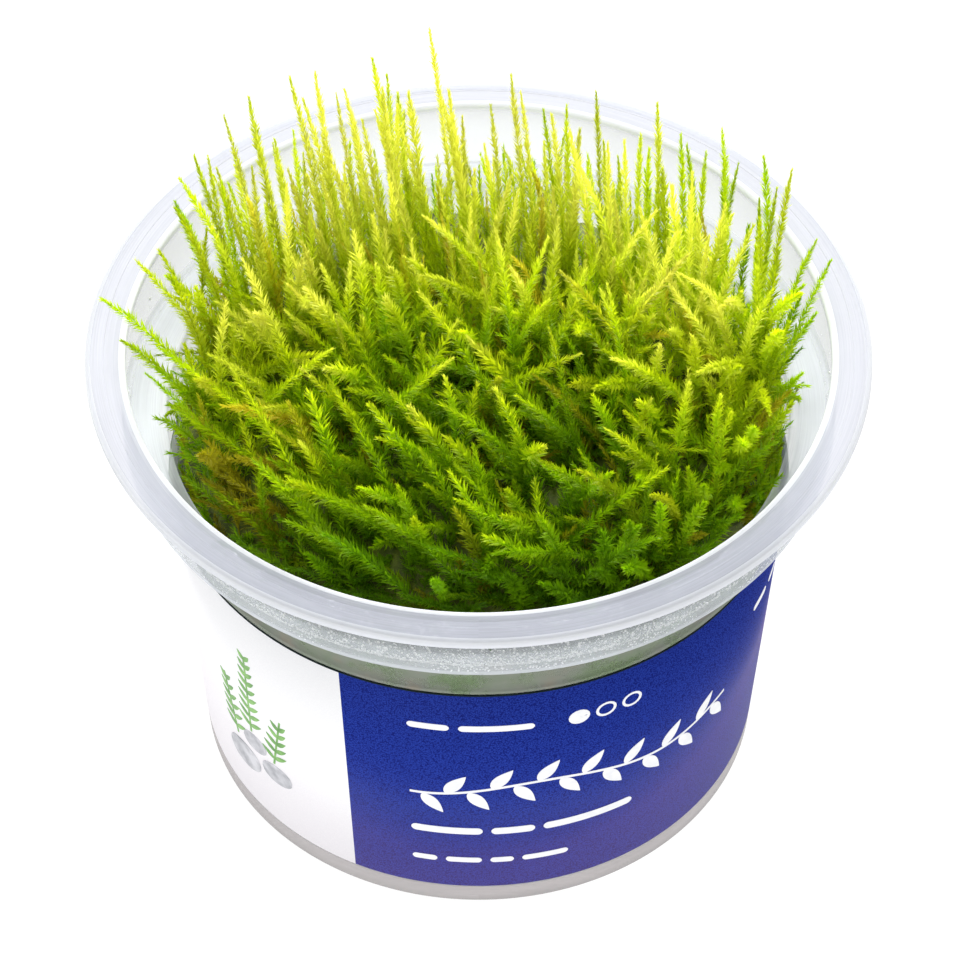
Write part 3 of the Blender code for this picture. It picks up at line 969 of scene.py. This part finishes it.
def moss_surface(x, y):
    """Height in millimetres of the highest young growth: rising to the back, falling to the front."""
    return np.where(y > 0, SURFACE + SURFACE_BACK * y, SURFACE + SURFACE_FRONT * y)


# Places of the shoots: an uneven honeycomb, with its rows this close.
ROW_SPACING = 0.866
UNEVENNESS = 0.45


def scatter(spacing, radius, rng):
    """Uneven honeycomb of spots within this radius."""
    rows = int(radius / (spacing * ROW_SPACING)) + 1
    spots = []
    for row in range(-rows, rows + 1):
        for column in range(-rows, rows + 1):
            spots.append(((column + 0.5 * (row % 2)) * spacing, row * spacing * ROW_SPACING))
    shift = UNEVENNESS * spacing
    spots = np.array(spots) + rng.uniform(-shift, shift, (len(spots), 2))
    return spots[np.hypot(*spots.T) < radius]


# Upper shoots: the growing gaps behind a line, at the left, in the middle and at the right.
UPPER_SPACING = 3.6
UPPER_RADIUS = 40.0
UPPER_DROP = 9.0
UPPER_DROP_BIAS = 1.3
GAPS_FROM = 8
GAPS_MIDDLE = 8
GAPS_LEFT = 0.026
GAPS_CENTRE = 0.100
GAPS_RIGHT = 0.056
GAPS_START = 1.25
GAPS_LEAST = 0.1
BACK_WALL_RADIUS = 37
BACK_WALL_FROM = 5
FAR_LEFT = -24
FAR_LEFT_SHARE = 0.7


def upper_tips(rng):
    """Tips of the young shoots, with gaps towards the back where the wall shows between them."""
    spots = scatter(UPPER_SPACING, UPPER_RADIUS, rng)
    x, y = spots.T
    thin = np.where(x < -GAPS_MIDDLE, GAPS_LEFT, np.where(x < GAPS_MIDDLE, GAPS_CENTRE, GAPS_RIGHT))
    share = np.clip(GAPS_START - thin * np.maximum(y - GAPS_FROM, 0), GAPS_LEAST, 1)
    keep = rng.random(len(spots)) < share
    keep &= ~((np.hypot(x, y) > BACK_WALL_RADIUS) & (y > BACK_WALL_FROM))
    keep &= (x > FAR_LEFT) | (rng.random(len(spots)) < FAR_LEFT_SHARE)
    spots = spots[keep]
    drop = UPPER_DROP * rng.random(len(spots)) ** UPPER_DROP_BIAS
    return np.column_stack([spots, moss_surface(*spots.T) - drop])


# Under shoots: dropped below the young growth, more so at the back.
UNDER_SPACING = 2.5
UNDER_RADIUS = 40.5
UNDER_BACK_RADIUS = 35.5
UNDER_DROPS = (6.5, 15)
UNDER_BACK_FROM = 10
UNDER_BACK_DROP = 0.10


def under_tips(rng):
    """Tips of the shoots that fill in under the young ones."""
    spots = scatter(UNDER_SPACING, UNDER_RADIUS, rng)
    spots = spots[~((np.hypot(*spots.T) > UNDER_BACK_RADIUS) & (spots[:, 1] > 0))]
    drop = rng.uniform(*UNDER_DROPS, len(spots))
    drop += np.maximum(spots[:, 1] - UNDER_BACK_FROM, 0) * UNDER_BACK_DROP
    return np.column_stack([spots, moss_surface(*spots.T) - drop])


# Shoots along the wall.
WALL_COUNT = 260
WALL_RADIUS = 36.9
WALL_HEIGHTS = (44, 56)


def wall_tips(rng):
    """Tips of the shoots that stand along the wall."""
    turn = rng.uniform(0, math.tau, WALL_COUNT)
    height = rng.uniform(*WALL_HEIGHTS, WALL_COUNT)
    return np.column_stack([WALL_RADIUS * np.cos(turn), WALL_RADIUS * np.sin(turn), height])


# Short tufts in the depth, in a low dome.
TUFT_SPACING = 2.0
TUFT_RADIUS = 36.5
TUFT_HEIGHT = 61.5
TUFT_DOME = 0.004
TUFT_UNEVEN = (-1.5, 2)
TUFT_BACK = 22
TUFT_BACK_SHARE = 0.5


def tuft_tips(rng):
    """Tips of the short tufts over the tangle, fewer at the back."""
    spots = scatter(TUFT_SPACING, TUFT_RADIUS, rng)
    spots = spots[(spots[:, 1] < TUFT_BACK) | (rng.random(len(spots)) < TUFT_BACK_SHARE)]
    height = TUFT_HEIGHT - TUFT_DOME * np.hypot(*spots.T) ** 2 + rng.uniform(*TUFT_UNEVEN, len(spots))
    return np.column_stack([spots, height])


# The small dark hollow at the front left.
HOLLOW = (-9.5, -34)
HOLLOW_RADIUS = 2.6


def outside_hollow(tips):
    """The tips without those in the small hollow."""
    return tips[np.hypot(tips[:, 0] - HOLLOW[0], tips[:, 1] - HOLLOW[1]) > HOLLOW_RADIUS]


# The common lean, in shares of the rise: sideways at the back, over to the left in front, and backwards.
LEAN_BACK = 0.16
LEAN_BACK_SPLAY = 0.008
LEAN_FRONT = 0.52
LEAN_FRONT_SPLAY = 0.006
FRONT_LINE = 16
FRONT_DEPTH = 40
BACK_LINE = -4
BACK_DEPTH = 26
LEAN_BACKWARDS = (0.10, 1.0)


def screen_lean(x, y):
    """Mean sideways lean of the shoots at this place: outwards at the back, over to the left in front."""
    front = np.clip((FRONT_LINE - y) / FRONT_DEPTH, 0, 1)
    return -(LEAN_BACK - LEAN_BACK_SPLAY * x) - front * (LEAN_FRONT - LEAN_FRONT_SPLAY * x)


def unit(vectors):
    """The same directions, each of length one."""
    return vectors / np.maximum(np.linalg.norm(vectors, axis=1, keepdims=True), 1e-9)


# How far the shoots stray and rise, and how near the wall their roots may be.
STRAY_BACK = 0.78
WALL_LEAN = 0.4
ROOT_SHARE = 0.62
ROOT_RADIUS = 35.5
ROOT_UNEVEN = 4
WALL_ROOT_RADIUS = 36.6
RISE_UNEVEN = 2
RISE_BACK = 6
# How the shoots bend on their way up.
BEND_HEIGHT = 0.55
BEND_STIFFNESS = (0.25, 0.85)
BEND_LIFT = 0.10
BEND_UNEVEN = 0.8
BEND_TALL = 2.0
# Size, freshness, painted light from behind on the back shoots, and the few brown shoots, with a golden
# patch at the front left.
SIZE_UNEVEN = 0.14
SIZE_RANGE = (0.7, 1.4)
SIZE_BACK = 0.16
VIGOUR_UNEVEN = 0.16
VIGOUR_BACK_PAINTED_LIGHT = 0.20
VIGOUR_MOST = 1.15
BROWN_RARITY = 30
BROWN_SHARE = 0.09
BROWN = 0.75
GOLDEN_SPOT = (-31, -19)
GOLDEN_RADIUS = 4.5
GOLDEN_SHARE = 0.6
GOLDEN = 0.8


def moss_shoots(rng):
    """Every shoot as root, bend and tip, with its leaf size, tone, how vigorous it is with painted light
    added, brownness and leafiness.
    """
    upper, under, wall, tuft = (make(rng) for make in (upper_tips, under_tips, wall_tips, tuft_tips))
    kinds = (
        np.array(TALL_TIPS, float), np.array(SHORT_TIPS, float), outside_hollow(upper),
        outside_hollow(under), wall, outside_hollow(tuft))
    tips = np.vstack(kinds)
    kind = np.repeat(np.arange(len(kinds)), [len(part) for part in kinds])
    count = len(tips)
    x, y = tips[:, 0], tips[:, 1]
    back = np.clip((y - BACK_LINE) / BACK_DEPTH, 0, 1)
    stray = STRAYS[kind] * (1 - STRAY_BACK * back)
    backwards = LEAN_BACKWARDS[0] + LEAN_BACKWARDS[1] * back
    lean = np.stack([screen_lean(x, y), backwards], axis=1) + rng.normal(0, 1, (count, 2)) * stray[:, None]
    lean[kind == WALLSIDE] *= WALL_LEAN
    rise = RISES[kind] + rng.uniform(-RISE_UNEVEN, RISE_UNEVEN, count) + RISE_BACK * back * (kind == UPPER)
    roots = tips.copy()
    roots[:, :2] -= lean * (rise * ROOT_SHARE)[:, None]
    roots[:, 2] -= rise
    reach = np.hypot(roots[:, 0], roots[:, 1])
    limit = np.where(kind == WALLSIDE, WALL_ROOT_RADIUS, ROOT_RADIUS - rng.uniform(0, ROOT_UNEVEN, count))
    roots[:, :2] *= np.minimum(1.0, limit / np.maximum(reach, 1e-6))[:, None]
    stiff = rng.uniform(*BEND_STIFFNESS, count)[:, None]
    bends = roots * (1 - BEND_HEIGHT) + tips * BEND_HEIGHT
    bends[:, :2] = roots[:, :2] * (1 - BEND_HEIGHT + BEND_HEIGHT * stiff)
    bends[:, :2] += tips[:, :2] * (BEND_HEIGHT - BEND_HEIGHT * stiff)
    bends[:, 2] += rise * BEND_LIFT
    uneven = np.where(kind == TALL, BEND_TALL, 1.0)[:, None]
    bends[:, :2] += rng.normal(0, BEND_UNEVEN, (count, 2)) * uneven
    size = np.clip(rng.normal(1.0, SIZE_UNEVEN, count), *SIZE_RANGE) * SIZES[kind]
    size *= 1 - SIZE_BACK * back
    tone = rng.random(count)
    # More vigour at the back: painted light from behind.
    vigour_and_painted_light = VIGOURS[kind] + rng.normal(0, VIGOUR_UNEVEN, count) + VIGOUR_BACK_PAINTED_LIGHT * back
    brown = np.where(kind >= UPPER, rng.random(count) ** BROWN_RARITY, 0.0)
    brown[(kind >= UNDER) & (rng.random(count) < BROWN_SHARE)] = BROWN
    near_golden = np.hypot(x - GOLDEN_SPOT[0], y - GOLDEN_SPOT[1]) < GOLDEN_RADIUS
    brown[(kind >= UPPER) & near_golden & (rng.random(count) < GOLDEN_SHARE)] = GOLDEN
    return {
        "root": roots, "bend": bends, "tip": tips, "size": size, "tone": tone,
        "vigour_and_painted_light": np.clip(vigour_and_painted_light, 0, VIGOUR_MOST), "brown": brown, "leafiness": LEAVES_PER_MM[kind]}


def on_shoots(shoots, index, t):
    """Place and direction along the shoots, at t from root to tip."""
    root, bend, tip = (shoots[point][index] for point in ("root", "bend", "tip"))
    t = t[:, None]
    spot = root * (1 - t) ** 2 + bend * 2 * t * (1 - t) + tip * t ** 2
    way = (bend - root) * (1 - t) + (tip - bend) * t
    return spot, unit(way)


# Freshness of a leaf with painted light mixed in: lower with depth under the young growth, partly real older
# green and partly painted shade; higher towards the end of a vigorous shoot; higher towards the back and the
# sides, painted light from there; and darker at the ends of the outermost shoots.
DEPTH_GREEN_AND_PAINTED_SHADE = 0.40
FRESH_END = 0.52
FRESH_END_POWER = 2.2
PAINTED_BACK_AND_SIDE_LIGHT = 0.55
OUTER_END_DARKENING = 0.62
LIT_DEPTH = 19
LIT_MOST = 1.2
OPEN_BACK_FROM = -12
OPEN_BACK_DEPTH = 32
OPEN_SIDE_FROM = 14
OPEN_SIDE_WIDTH = 22
EDGE_FROM = 28
EDGE_WIDTH = 9


def growth_values(shoots, index, t, spot, leaf_share):
    """Freshness with painted shade and light, tone, brownness and place along the leaf, for the material."""
    depth = (spot[:, 2] - moss_surface(spot[:, 0], spot[:, 1]) + LIT_DEPTH) / LIT_DEPTH
    reach = np.hypot(spot[:, 0], spot[:, 1])
    painted_light_side = np.clip((spot[:, 1] - OPEN_BACK_FROM) / OPEN_BACK_DEPTH, 0, 1)
    painted_light_side += np.clip((np.abs(spot[:, 0]) - OPEN_SIDE_FROM) / OPEN_SIDE_WIDTH, 0, 1)
    # Painted shade with depth, partly real older green.
    freshness_and_painted_light = DEPTH_GREEN_AND_PAINTED_SHADE * np.clip(depth, 0, LIT_MOST)
    freshness_and_painted_light += FRESH_END * shoots["vigour_and_painted_light"][index] * t ** FRESH_END_POWER
    # Painted light from the back and the sides.
    freshness_and_painted_light += PAINTED_BACK_AND_SIDE_LIGHT * np.minimum(painted_light_side, 1)
    freshness_and_painted_light -= OUTER_END_DARKENING * np.clip((reach - EDGE_FROM) / EDGE_WIDTH, 0, 1) * t ** 2
    values = np.empty((len(t), leaf_share.shape[-1], 4))
    values[:, :, 0] = freshness_and_painted_light[:, None]
    values[:, :, 1] = shoots["tone"][index][:, None]
    values[:, :, 2] = shoots["brown"][index][:, None]
    values[:, :, 3] = leaf_share
    return values.reshape(-1, 4)


# Leaves. One leaf goes along its length, across its width and out of its plane, in shares of length,
# width and length. They stand in a spiral, closer and more upright towards the tip of the shoot.
LEAF_LENGTH = 1.45
LEAF_WIDTH = 0.28
LEAF_POINTS = np.array([(0, 0, 0), (0.38, 0.5, 0.06), (0.38, -0.5, 0.06), (1, 0, 0.18)])
LEAF_FACES = np.array([(0, 2, 1), (1, 2, 3)])
LEAVES_LEAST = 8
LEAVES_UPWARDS = 0.85
LEAVES_AT_ROOT = 0.15
LEAVES_GAIN = 1.9
SPIRAL_TURN = 2.39996
SPIRAL_UNEVEN = 0.35
SPIRAL_FLATNESS = 0.75
TIP_BUD = 4.5
LEAF_ANGLE_TIP = 14
LEAF_ANGLE_GAIN = 26
LEAF_ANGLE_UNEVEN = 7
SLIM_FROM = -2
SLIM_DEPTH = 24
SLIM_BACK = 0.30
LEAF_TWIST = 0.25
LEAF_SIDE_UNEVEN = 0.2
LEAF_LENGTHS = (0.75, 1.2)
LEAF_LENGTH_TIP = 0.50
LEAF_WIDTH_TIP = 0.70


def leaf_places(shoots, length, rng):
    """Which shoot each leaf is on, its number there, and its place from root to tip."""
    counts = np.maximum((length * shoots["leafiness"] / shoots["size"]).astype(int), LEAVES_LEAST)
    index = np.repeat(np.arange(len(length)), counts)
    order = np.arange(len(index)) - np.repeat(np.cumsum(counts) - counts, counts)
    t = ((order + rng.random(len(order))) / counts[index]) ** LEAVES_UPWARDS
    keep = rng.random(len(t)) < np.clip(LEAVES_AT_ROOT + LEAVES_GAIN * t, 0, 1)
    return index[keep], order[keep], t[keep]


def leaf_arrays(shoots, rng):
    """Points, faces and growth values of all the leaves of these shoots."""
    to_bend = np.linalg.norm(shoots["bend"] - shoots["root"], axis=1)
    length = to_bend + np.linalg.norm(shoots["tip"] - shoots["bend"], axis=1)
    index, order, t = leaf_places(shoots, length, rng)
    size = shoots["size"][index]
    spot, way = on_shoots(shoots, index, t)
    side = unit(np.cross(way, np.array([0.0, 0.0, 1.0]) + LEAF_SIDE_UNEVEN * rng.normal(size=(len(way), 3))))
    up = np.cross(side, way)
    turn = order * SPIRAL_TURN + rng.normal(0, SPIRAL_UNEVEN, len(order))
    out = side * np.cos(turn)[:, None] + up * (SPIRAL_FLATNESS * np.sin(turn))[:, None]
    near_tip = np.clip((1 - t) * length[index] / TIP_BUD, 0, 1)
    slim = 1 - SLIM_BACK * np.clip((spot[:, 1] - SLIM_FROM) / SLIM_DEPTH, 0, 1)
    angle = (LEAF_ANGLE_TIP + LEAF_ANGLE_GAIN * near_tip) * slim
    open_angle = np.radians(angle + rng.normal(0, LEAF_ANGLE_UNEVEN, len(t)))
    along = unit(way * np.cos(open_angle)[:, None] + unit(out) * np.sin(open_angle)[:, None])
    across = unit(np.cross(along, way) + LEAF_TWIST * rng.normal(size=along.shape))
    lift = np.cross(across, along)
    lift *= np.where(np.sum(lift * out, axis=1) < 0, -1.0, 1.0)[:, None]
    grown = LEAF_LENGTH_TIP + (1 - LEAF_LENGTH_TIP) * near_tip
    long = LEAF_LENGTH * size * grown * rng.uniform(*LEAF_LENGTHS, len(t))
    wide = LEAF_WIDTH * size * (LEAF_WIDTH_TIP + (1 - LEAF_WIDTH_TIP) * near_tip)
    corners = (
        spot[:, None, :]
        + along[:, None, :] * (LEAF_POINTS[None, :, 0:1] * long[:, None, None])
        + across[:, None, :] * (LEAF_POINTS[None, :, 1:2] * wide[:, None, None])
        + lift[:, None, :] * (LEAF_POINTS[None, :, 2:3] * long[:, None, None])
    )
    share = np.broadcast_to(LEAF_POINTS[:, 0], (len(t), len(LEAF_POINTS)))
    values = growth_values(shoots, index, t, spot, share)
    faces = LEAF_FACES[None] + len(LEAF_POINTS) * np.arange(len(t))[:, None, None]
    return corners.reshape(-1, 3), faces.reshape(-1, 3), values


# Stems: fine three-sided tubes, closed at the tip.
STEM_RADIUS = 0.15
STEM_TAPER = 0.8
STEM_RUNS = 6
STEM_SIDES = 3
STEM_SHARE = 0.3


def stem_arrays(shoots):
    """Points, faces and growth values of the stems."""
    count = len(shoots["root"])
    rings = STEM_RUNS + 1
    index = np.repeat(np.arange(count), rings)
    t = np.tile(np.linspace(0, 1, rings), count)
    spot, way = on_shoots(shoots, index, t)
    side = unit(np.cross(way, np.array([0.3, 0.5, 1.0])))
    up = np.cross(side, way)
    radius = STEM_RADIUS * shoots["size"][index] * (1 - STEM_TAPER * t)
    points = np.empty((len(t), STEM_SIDES, 3))
    for corner in range(STEM_SIDES):
        turn = math.tau * corner / STEM_SIDES
        points[:, corner] = spot + (side * math.cos(turn) + up * math.sin(turn)) * radius[:, None]
    values = growth_values(shoots, index, t, spot, np.full((len(t), STEM_SIDES), STEM_SHARE))
    faces = []
    for run in range(STEM_RUNS):
        for corner in range(STEM_SIDES):
            a = run * STEM_SIDES + corner
            b = run * STEM_SIDES + (corner + 1) % STEM_SIDES
            faces += [(a, b, b + STEM_SIDES), (a, b + STEM_SIDES, a + STEM_SIDES)]
    last = STEM_RUNS * STEM_SIDES
    faces.append((last, last + 1, last + 2))
    faces = np.array(faces)[None] + STEM_SIDES * rings * np.arange(count)[:, None, None]
    return points.reshape(-1, 3), faces.reshape(-1, 3), values


# Room for the leaves in millimetres: off the wall, as (height, radius) below the top of the ledge and
# inside the collar, over the rim, and up to the tallest tip.
WALL_ROOM = 0.25
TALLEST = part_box("moss")[1].z / MM
BELOW_LEDGE = (54.2, 37.9)
IN_COLLAR = (64.2, 42.1)
OVER_RIM = 47.3


def keep_inside_cup(points):
    """Draws in what would pass through the wall, the ledge, the collar or the rim, in millimetres."""
    radius = np.hypot(points[:, 0], points[:, 1])
    height = points[:, 2]
    wall = (WALL_RADIUS_LOW - WALL) / MM + (height - LABEL_LOW / MM) * WALL_TAPER - WALL_ROOM
    higher = np.where(height < IN_COLLAR[0], IN_COLLAR[1], OVER_RIM)
    limit = np.where(height < BELOW_LEDGE[0], np.minimum(wall, BELOW_LEDGE[1]), higher)
    points[:, :2] *= np.minimum(1.0, limit / np.maximum(radius, 1e-6))[:, None]
    points[:, 2] = np.minimum(height, TALLEST)
    return points


def mesh_piece(name, parts, material):
    """One object of triangles from (points in millimetres, faces, growth values) parts."""
    points = keep_inside_cup(np.vstack([part[0] for part in parts])) * MM
    starts = np.cumsum([0] + [len(part[0]) for part in parts[:-1]])
    faces = np.vstack([part[1] + start for part, start in zip(parts, starts)])
    values = np.vstack([part[2] for part in parts])
    mesh = bpy.data.meshes.new(name)
    mesh.vertices.add(len(points))
    mesh.vertices.foreach_set("co", points.astype(np.float32).ravel())
    mesh.loops.add(faces.size)
    mesh.loops.foreach_set("vertex_index", faces.astype(np.int32).ravel())
    mesh.polygons.add(len(faces))
    mesh.polygons.foreach_set("loop_start", np.arange(0, faces.size, 3, dtype=np.int32))
    mesh.update(calc_edges=True)
    growth = mesh.color_attributes.new("growth", "FLOAT_COLOR", "POINT")
    growth.data.foreach_set("color", values.astype(np.float32).ravel())
    piece = bpy.data.objects.new(name, mesh)
    bpy.context.scene.collection.objects.link(piece)
    mesh.materials.append(material)
    return piece


GREENS = (
    (0.08, (0.095, 0.235, 0.001)), (0.28, (0.220, 0.445, 0.001)), (0.48, (0.415, 0.630, 0.002)),
    (0.68, (0.660, 0.765, 0.008)), (0.92, (0.860, 0.870, 0.110)))
BROWNS = ((0.05, (0.150, 0.110, 0.004)), (0.40, (0.500, 0.400, 0.010)), (0.90, (0.880, 0.760, 0.050)))
LEAF_PATCHES = 0.30
LEAF_END = 0.10
FRESHEST = 1.4
TONES = (0.78, 1.08)
LEAF_GLOW = 0.55


def moss_leaf():
    """Yellow-green at the growing tips, deep green below, partly painted shade, and lighter to the back and
    the sides as painted light, with odd brown shoots; light comes through.
    """
    material, nodes, links, shader = new_material("moss_leaves")
    growth = nodes.new("ShaderNodeAttribute")
    growth.attribute_name = "growth"
    split = nodes.new("ShaderNodeSeparateColor")
    links.new(growth.outputs["Color"], split.inputs[0])
    patch = mottle(nodes, 120)
    # Red carries the freshness with painted shade and light.
    freshness_and_painted_light = math_node(nodes, links, "MULTIPLY_ADD", patch, LEAF_PATCHES, split.outputs["Red"])
    freshness_and_painted_light = math_node(nodes, links, "MULTIPLY_ADD", growth.outputs["Alpha"], LEAF_END, freshness_and_painted_light)
    freshness_and_painted_light = math_node(nodes, links, "DIVIDE", freshness_and_painted_light, FRESHEST)
    green = ramp(nodes, links, freshness_and_painted_light, GREENS)
    old = ramp(nodes, links, freshness_and_painted_light, BROWNS)
    aged = blend(nodes, links, split.outputs["Blue"], green, old)
    tone = span(nodes, links, split.outputs["Green"], (0.0, 1.0), TONES)
    color = scaled(nodes, links, aged, tone)
    links.new(color, shader.inputs["Base Color"])
    shader.inputs["Roughness"].default_value = 0.5
    shader.inputs["Specular IOR Level"].default_value = 0.25
    let_light_through(nodes, links, shader, LEAF_GLOW, color)
    return material


# Parts of the cushion: within this radius of the axis, and sectors from the back round by the left.
MIDDLE_RADIUS = 17
SECTORS = ("back_left", "left", "front", "right", "back_right")
SECTOR_ANGLE = 72


def build_moss():
    """The shoots, drawn at once and parted into six pieces: the middle and five sectors round it."""
    rng = np.random.default_rng(MOSS_SEED)
    shoots = moss_shoots(rng)
    tips = shoots["tip"]
    angle = np.degrees(np.arctan2(tips[:, 0], -tips[:, 1]))
    centre = np.hypot(tips[:, 0], tips[:, 1]) < MIDDLE_RADIUS
    regions = {"middle": centre}
    for index, name in enumerate(SECTORS):
        start = index * SECTOR_ANGLE - 180
        regions[name] = ~centre & (angle >= start) & (angle < start + SECTOR_ANGLE)
    material = moss_leaf()
    for region, chosen in regions.items():
        part = {name: values[chosen] for name, values in shoots.items()}
        piece = mesh_piece("moss_" + region, [leaf_arrays(part, rng), stem_arrays(part)], material)
        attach(piece, "root")
        if region == "middle":
            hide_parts("moss")


build_moss()


# Stage. A plain pale table that glows a little, soft light from all round, large soft lamps overhead,
# behind and in front, and the camera at the photograph's angle: 47 degrees above the front, long lens.
CAMERA_ELEVATION = math.radians(47.165)
CAMERA_DISTANCE = 603.94 * MM
CAMERA_TARGET = Vector((0.16 * MM, 0.0, 39.73 * MM))
CAMERA_LENS = 182.2
CAMERA_FILM = 36
TABLE_SIZE = 3.0
TABLE_COLOR = (0.06, 0.06, 0.06, 1)
TABLE_GLOW = 0.97
WHITE = (1, 1, 1, 1)
SKY_STRENGTH = 0.85
LAMP_AIM = Vector((0, 0, 0.05))
# Lamps as (name, place in metres, size, watts).
LAMPS = (
    ("top_lamp", (-0.10, 0.38, 0.62), 0.35, 5.2),
    ("back_lamp", (0.10, 0.85, 0.32), 0.5, 15.5),
    ("front_lamp", (-0.30, -0.75, 0.35), 0.5, 1.4),
)


def build_camera():
    """The camera, in front and above, looking at the middle of the cup."""
    data = bpy.data.cameras.new("camera")
    data.lens = CAMERA_LENS
    data.sensor_width = CAMERA_FILM
    camera = bpy.data.objects.new("camera", data)
    bpy.context.scene.collection.objects.link(camera)
    back = Vector((0, -math.cos(CAMERA_ELEVATION), math.sin(CAMERA_ELEVATION)))
    camera.location = CAMERA_TARGET + back * CAMERA_DISTANCE
    camera.rotation_euler = (math.pi / 2 - CAMERA_ELEVATION, 0, 0)
    bpy.context.scene.camera = camera


def build_floor():
    """The pale table."""
    bpy.ops.object.select_all(action="DESELECT")
    bpy.ops.mesh.primitive_plane_add(size=TABLE_SIZE, location=(0, 0, 0))
    floor = bpy.context.object
    floor.name = "floor"
    material, _, _, shader = new_material("pale_floor")
    shader.inputs["Base Color"].default_value = TABLE_COLOR
    shader.inputs["Roughness"].default_value = 0.9
    shader.inputs["Emission Color"].default_value = WHITE
    shader.inputs["Emission Strength"].default_value = TABLE_GLOW
    floor.data.materials.append(material)


def soft_lamp(name, spot, size, power):
    """A square soft lamp turned to the cup."""
    data = bpy.data.lights.new(name, "AREA")
    data.size = size
    data.energy = power
    lamp = bpy.data.objects.new(name, data)
    bpy.context.scene.collection.objects.link(lamp)
    lamp.location = spot
    lamp.rotation_euler = (LAMP_AIM - Vector(spot)).to_track_quat("-Z", "Y").to_euler()


def build_light():
    """Even daylight and the lamps."""
    world = bpy.data.worlds.new("soft_daylight")
    world.use_nodes = True
    background = world.node_tree.nodes["Background"]
    background.inputs["Color"].default_value = WHITE
    background.inputs["Strength"].default_value = SKY_STRENGTH
    bpy.context.scene.world = world
    for lamp in LAMPS:
        soft_lamp(*lamp)


build_camera()
build_floor()
build_light()
bpy.context.scene.view_settings.view_transform = "Standard"
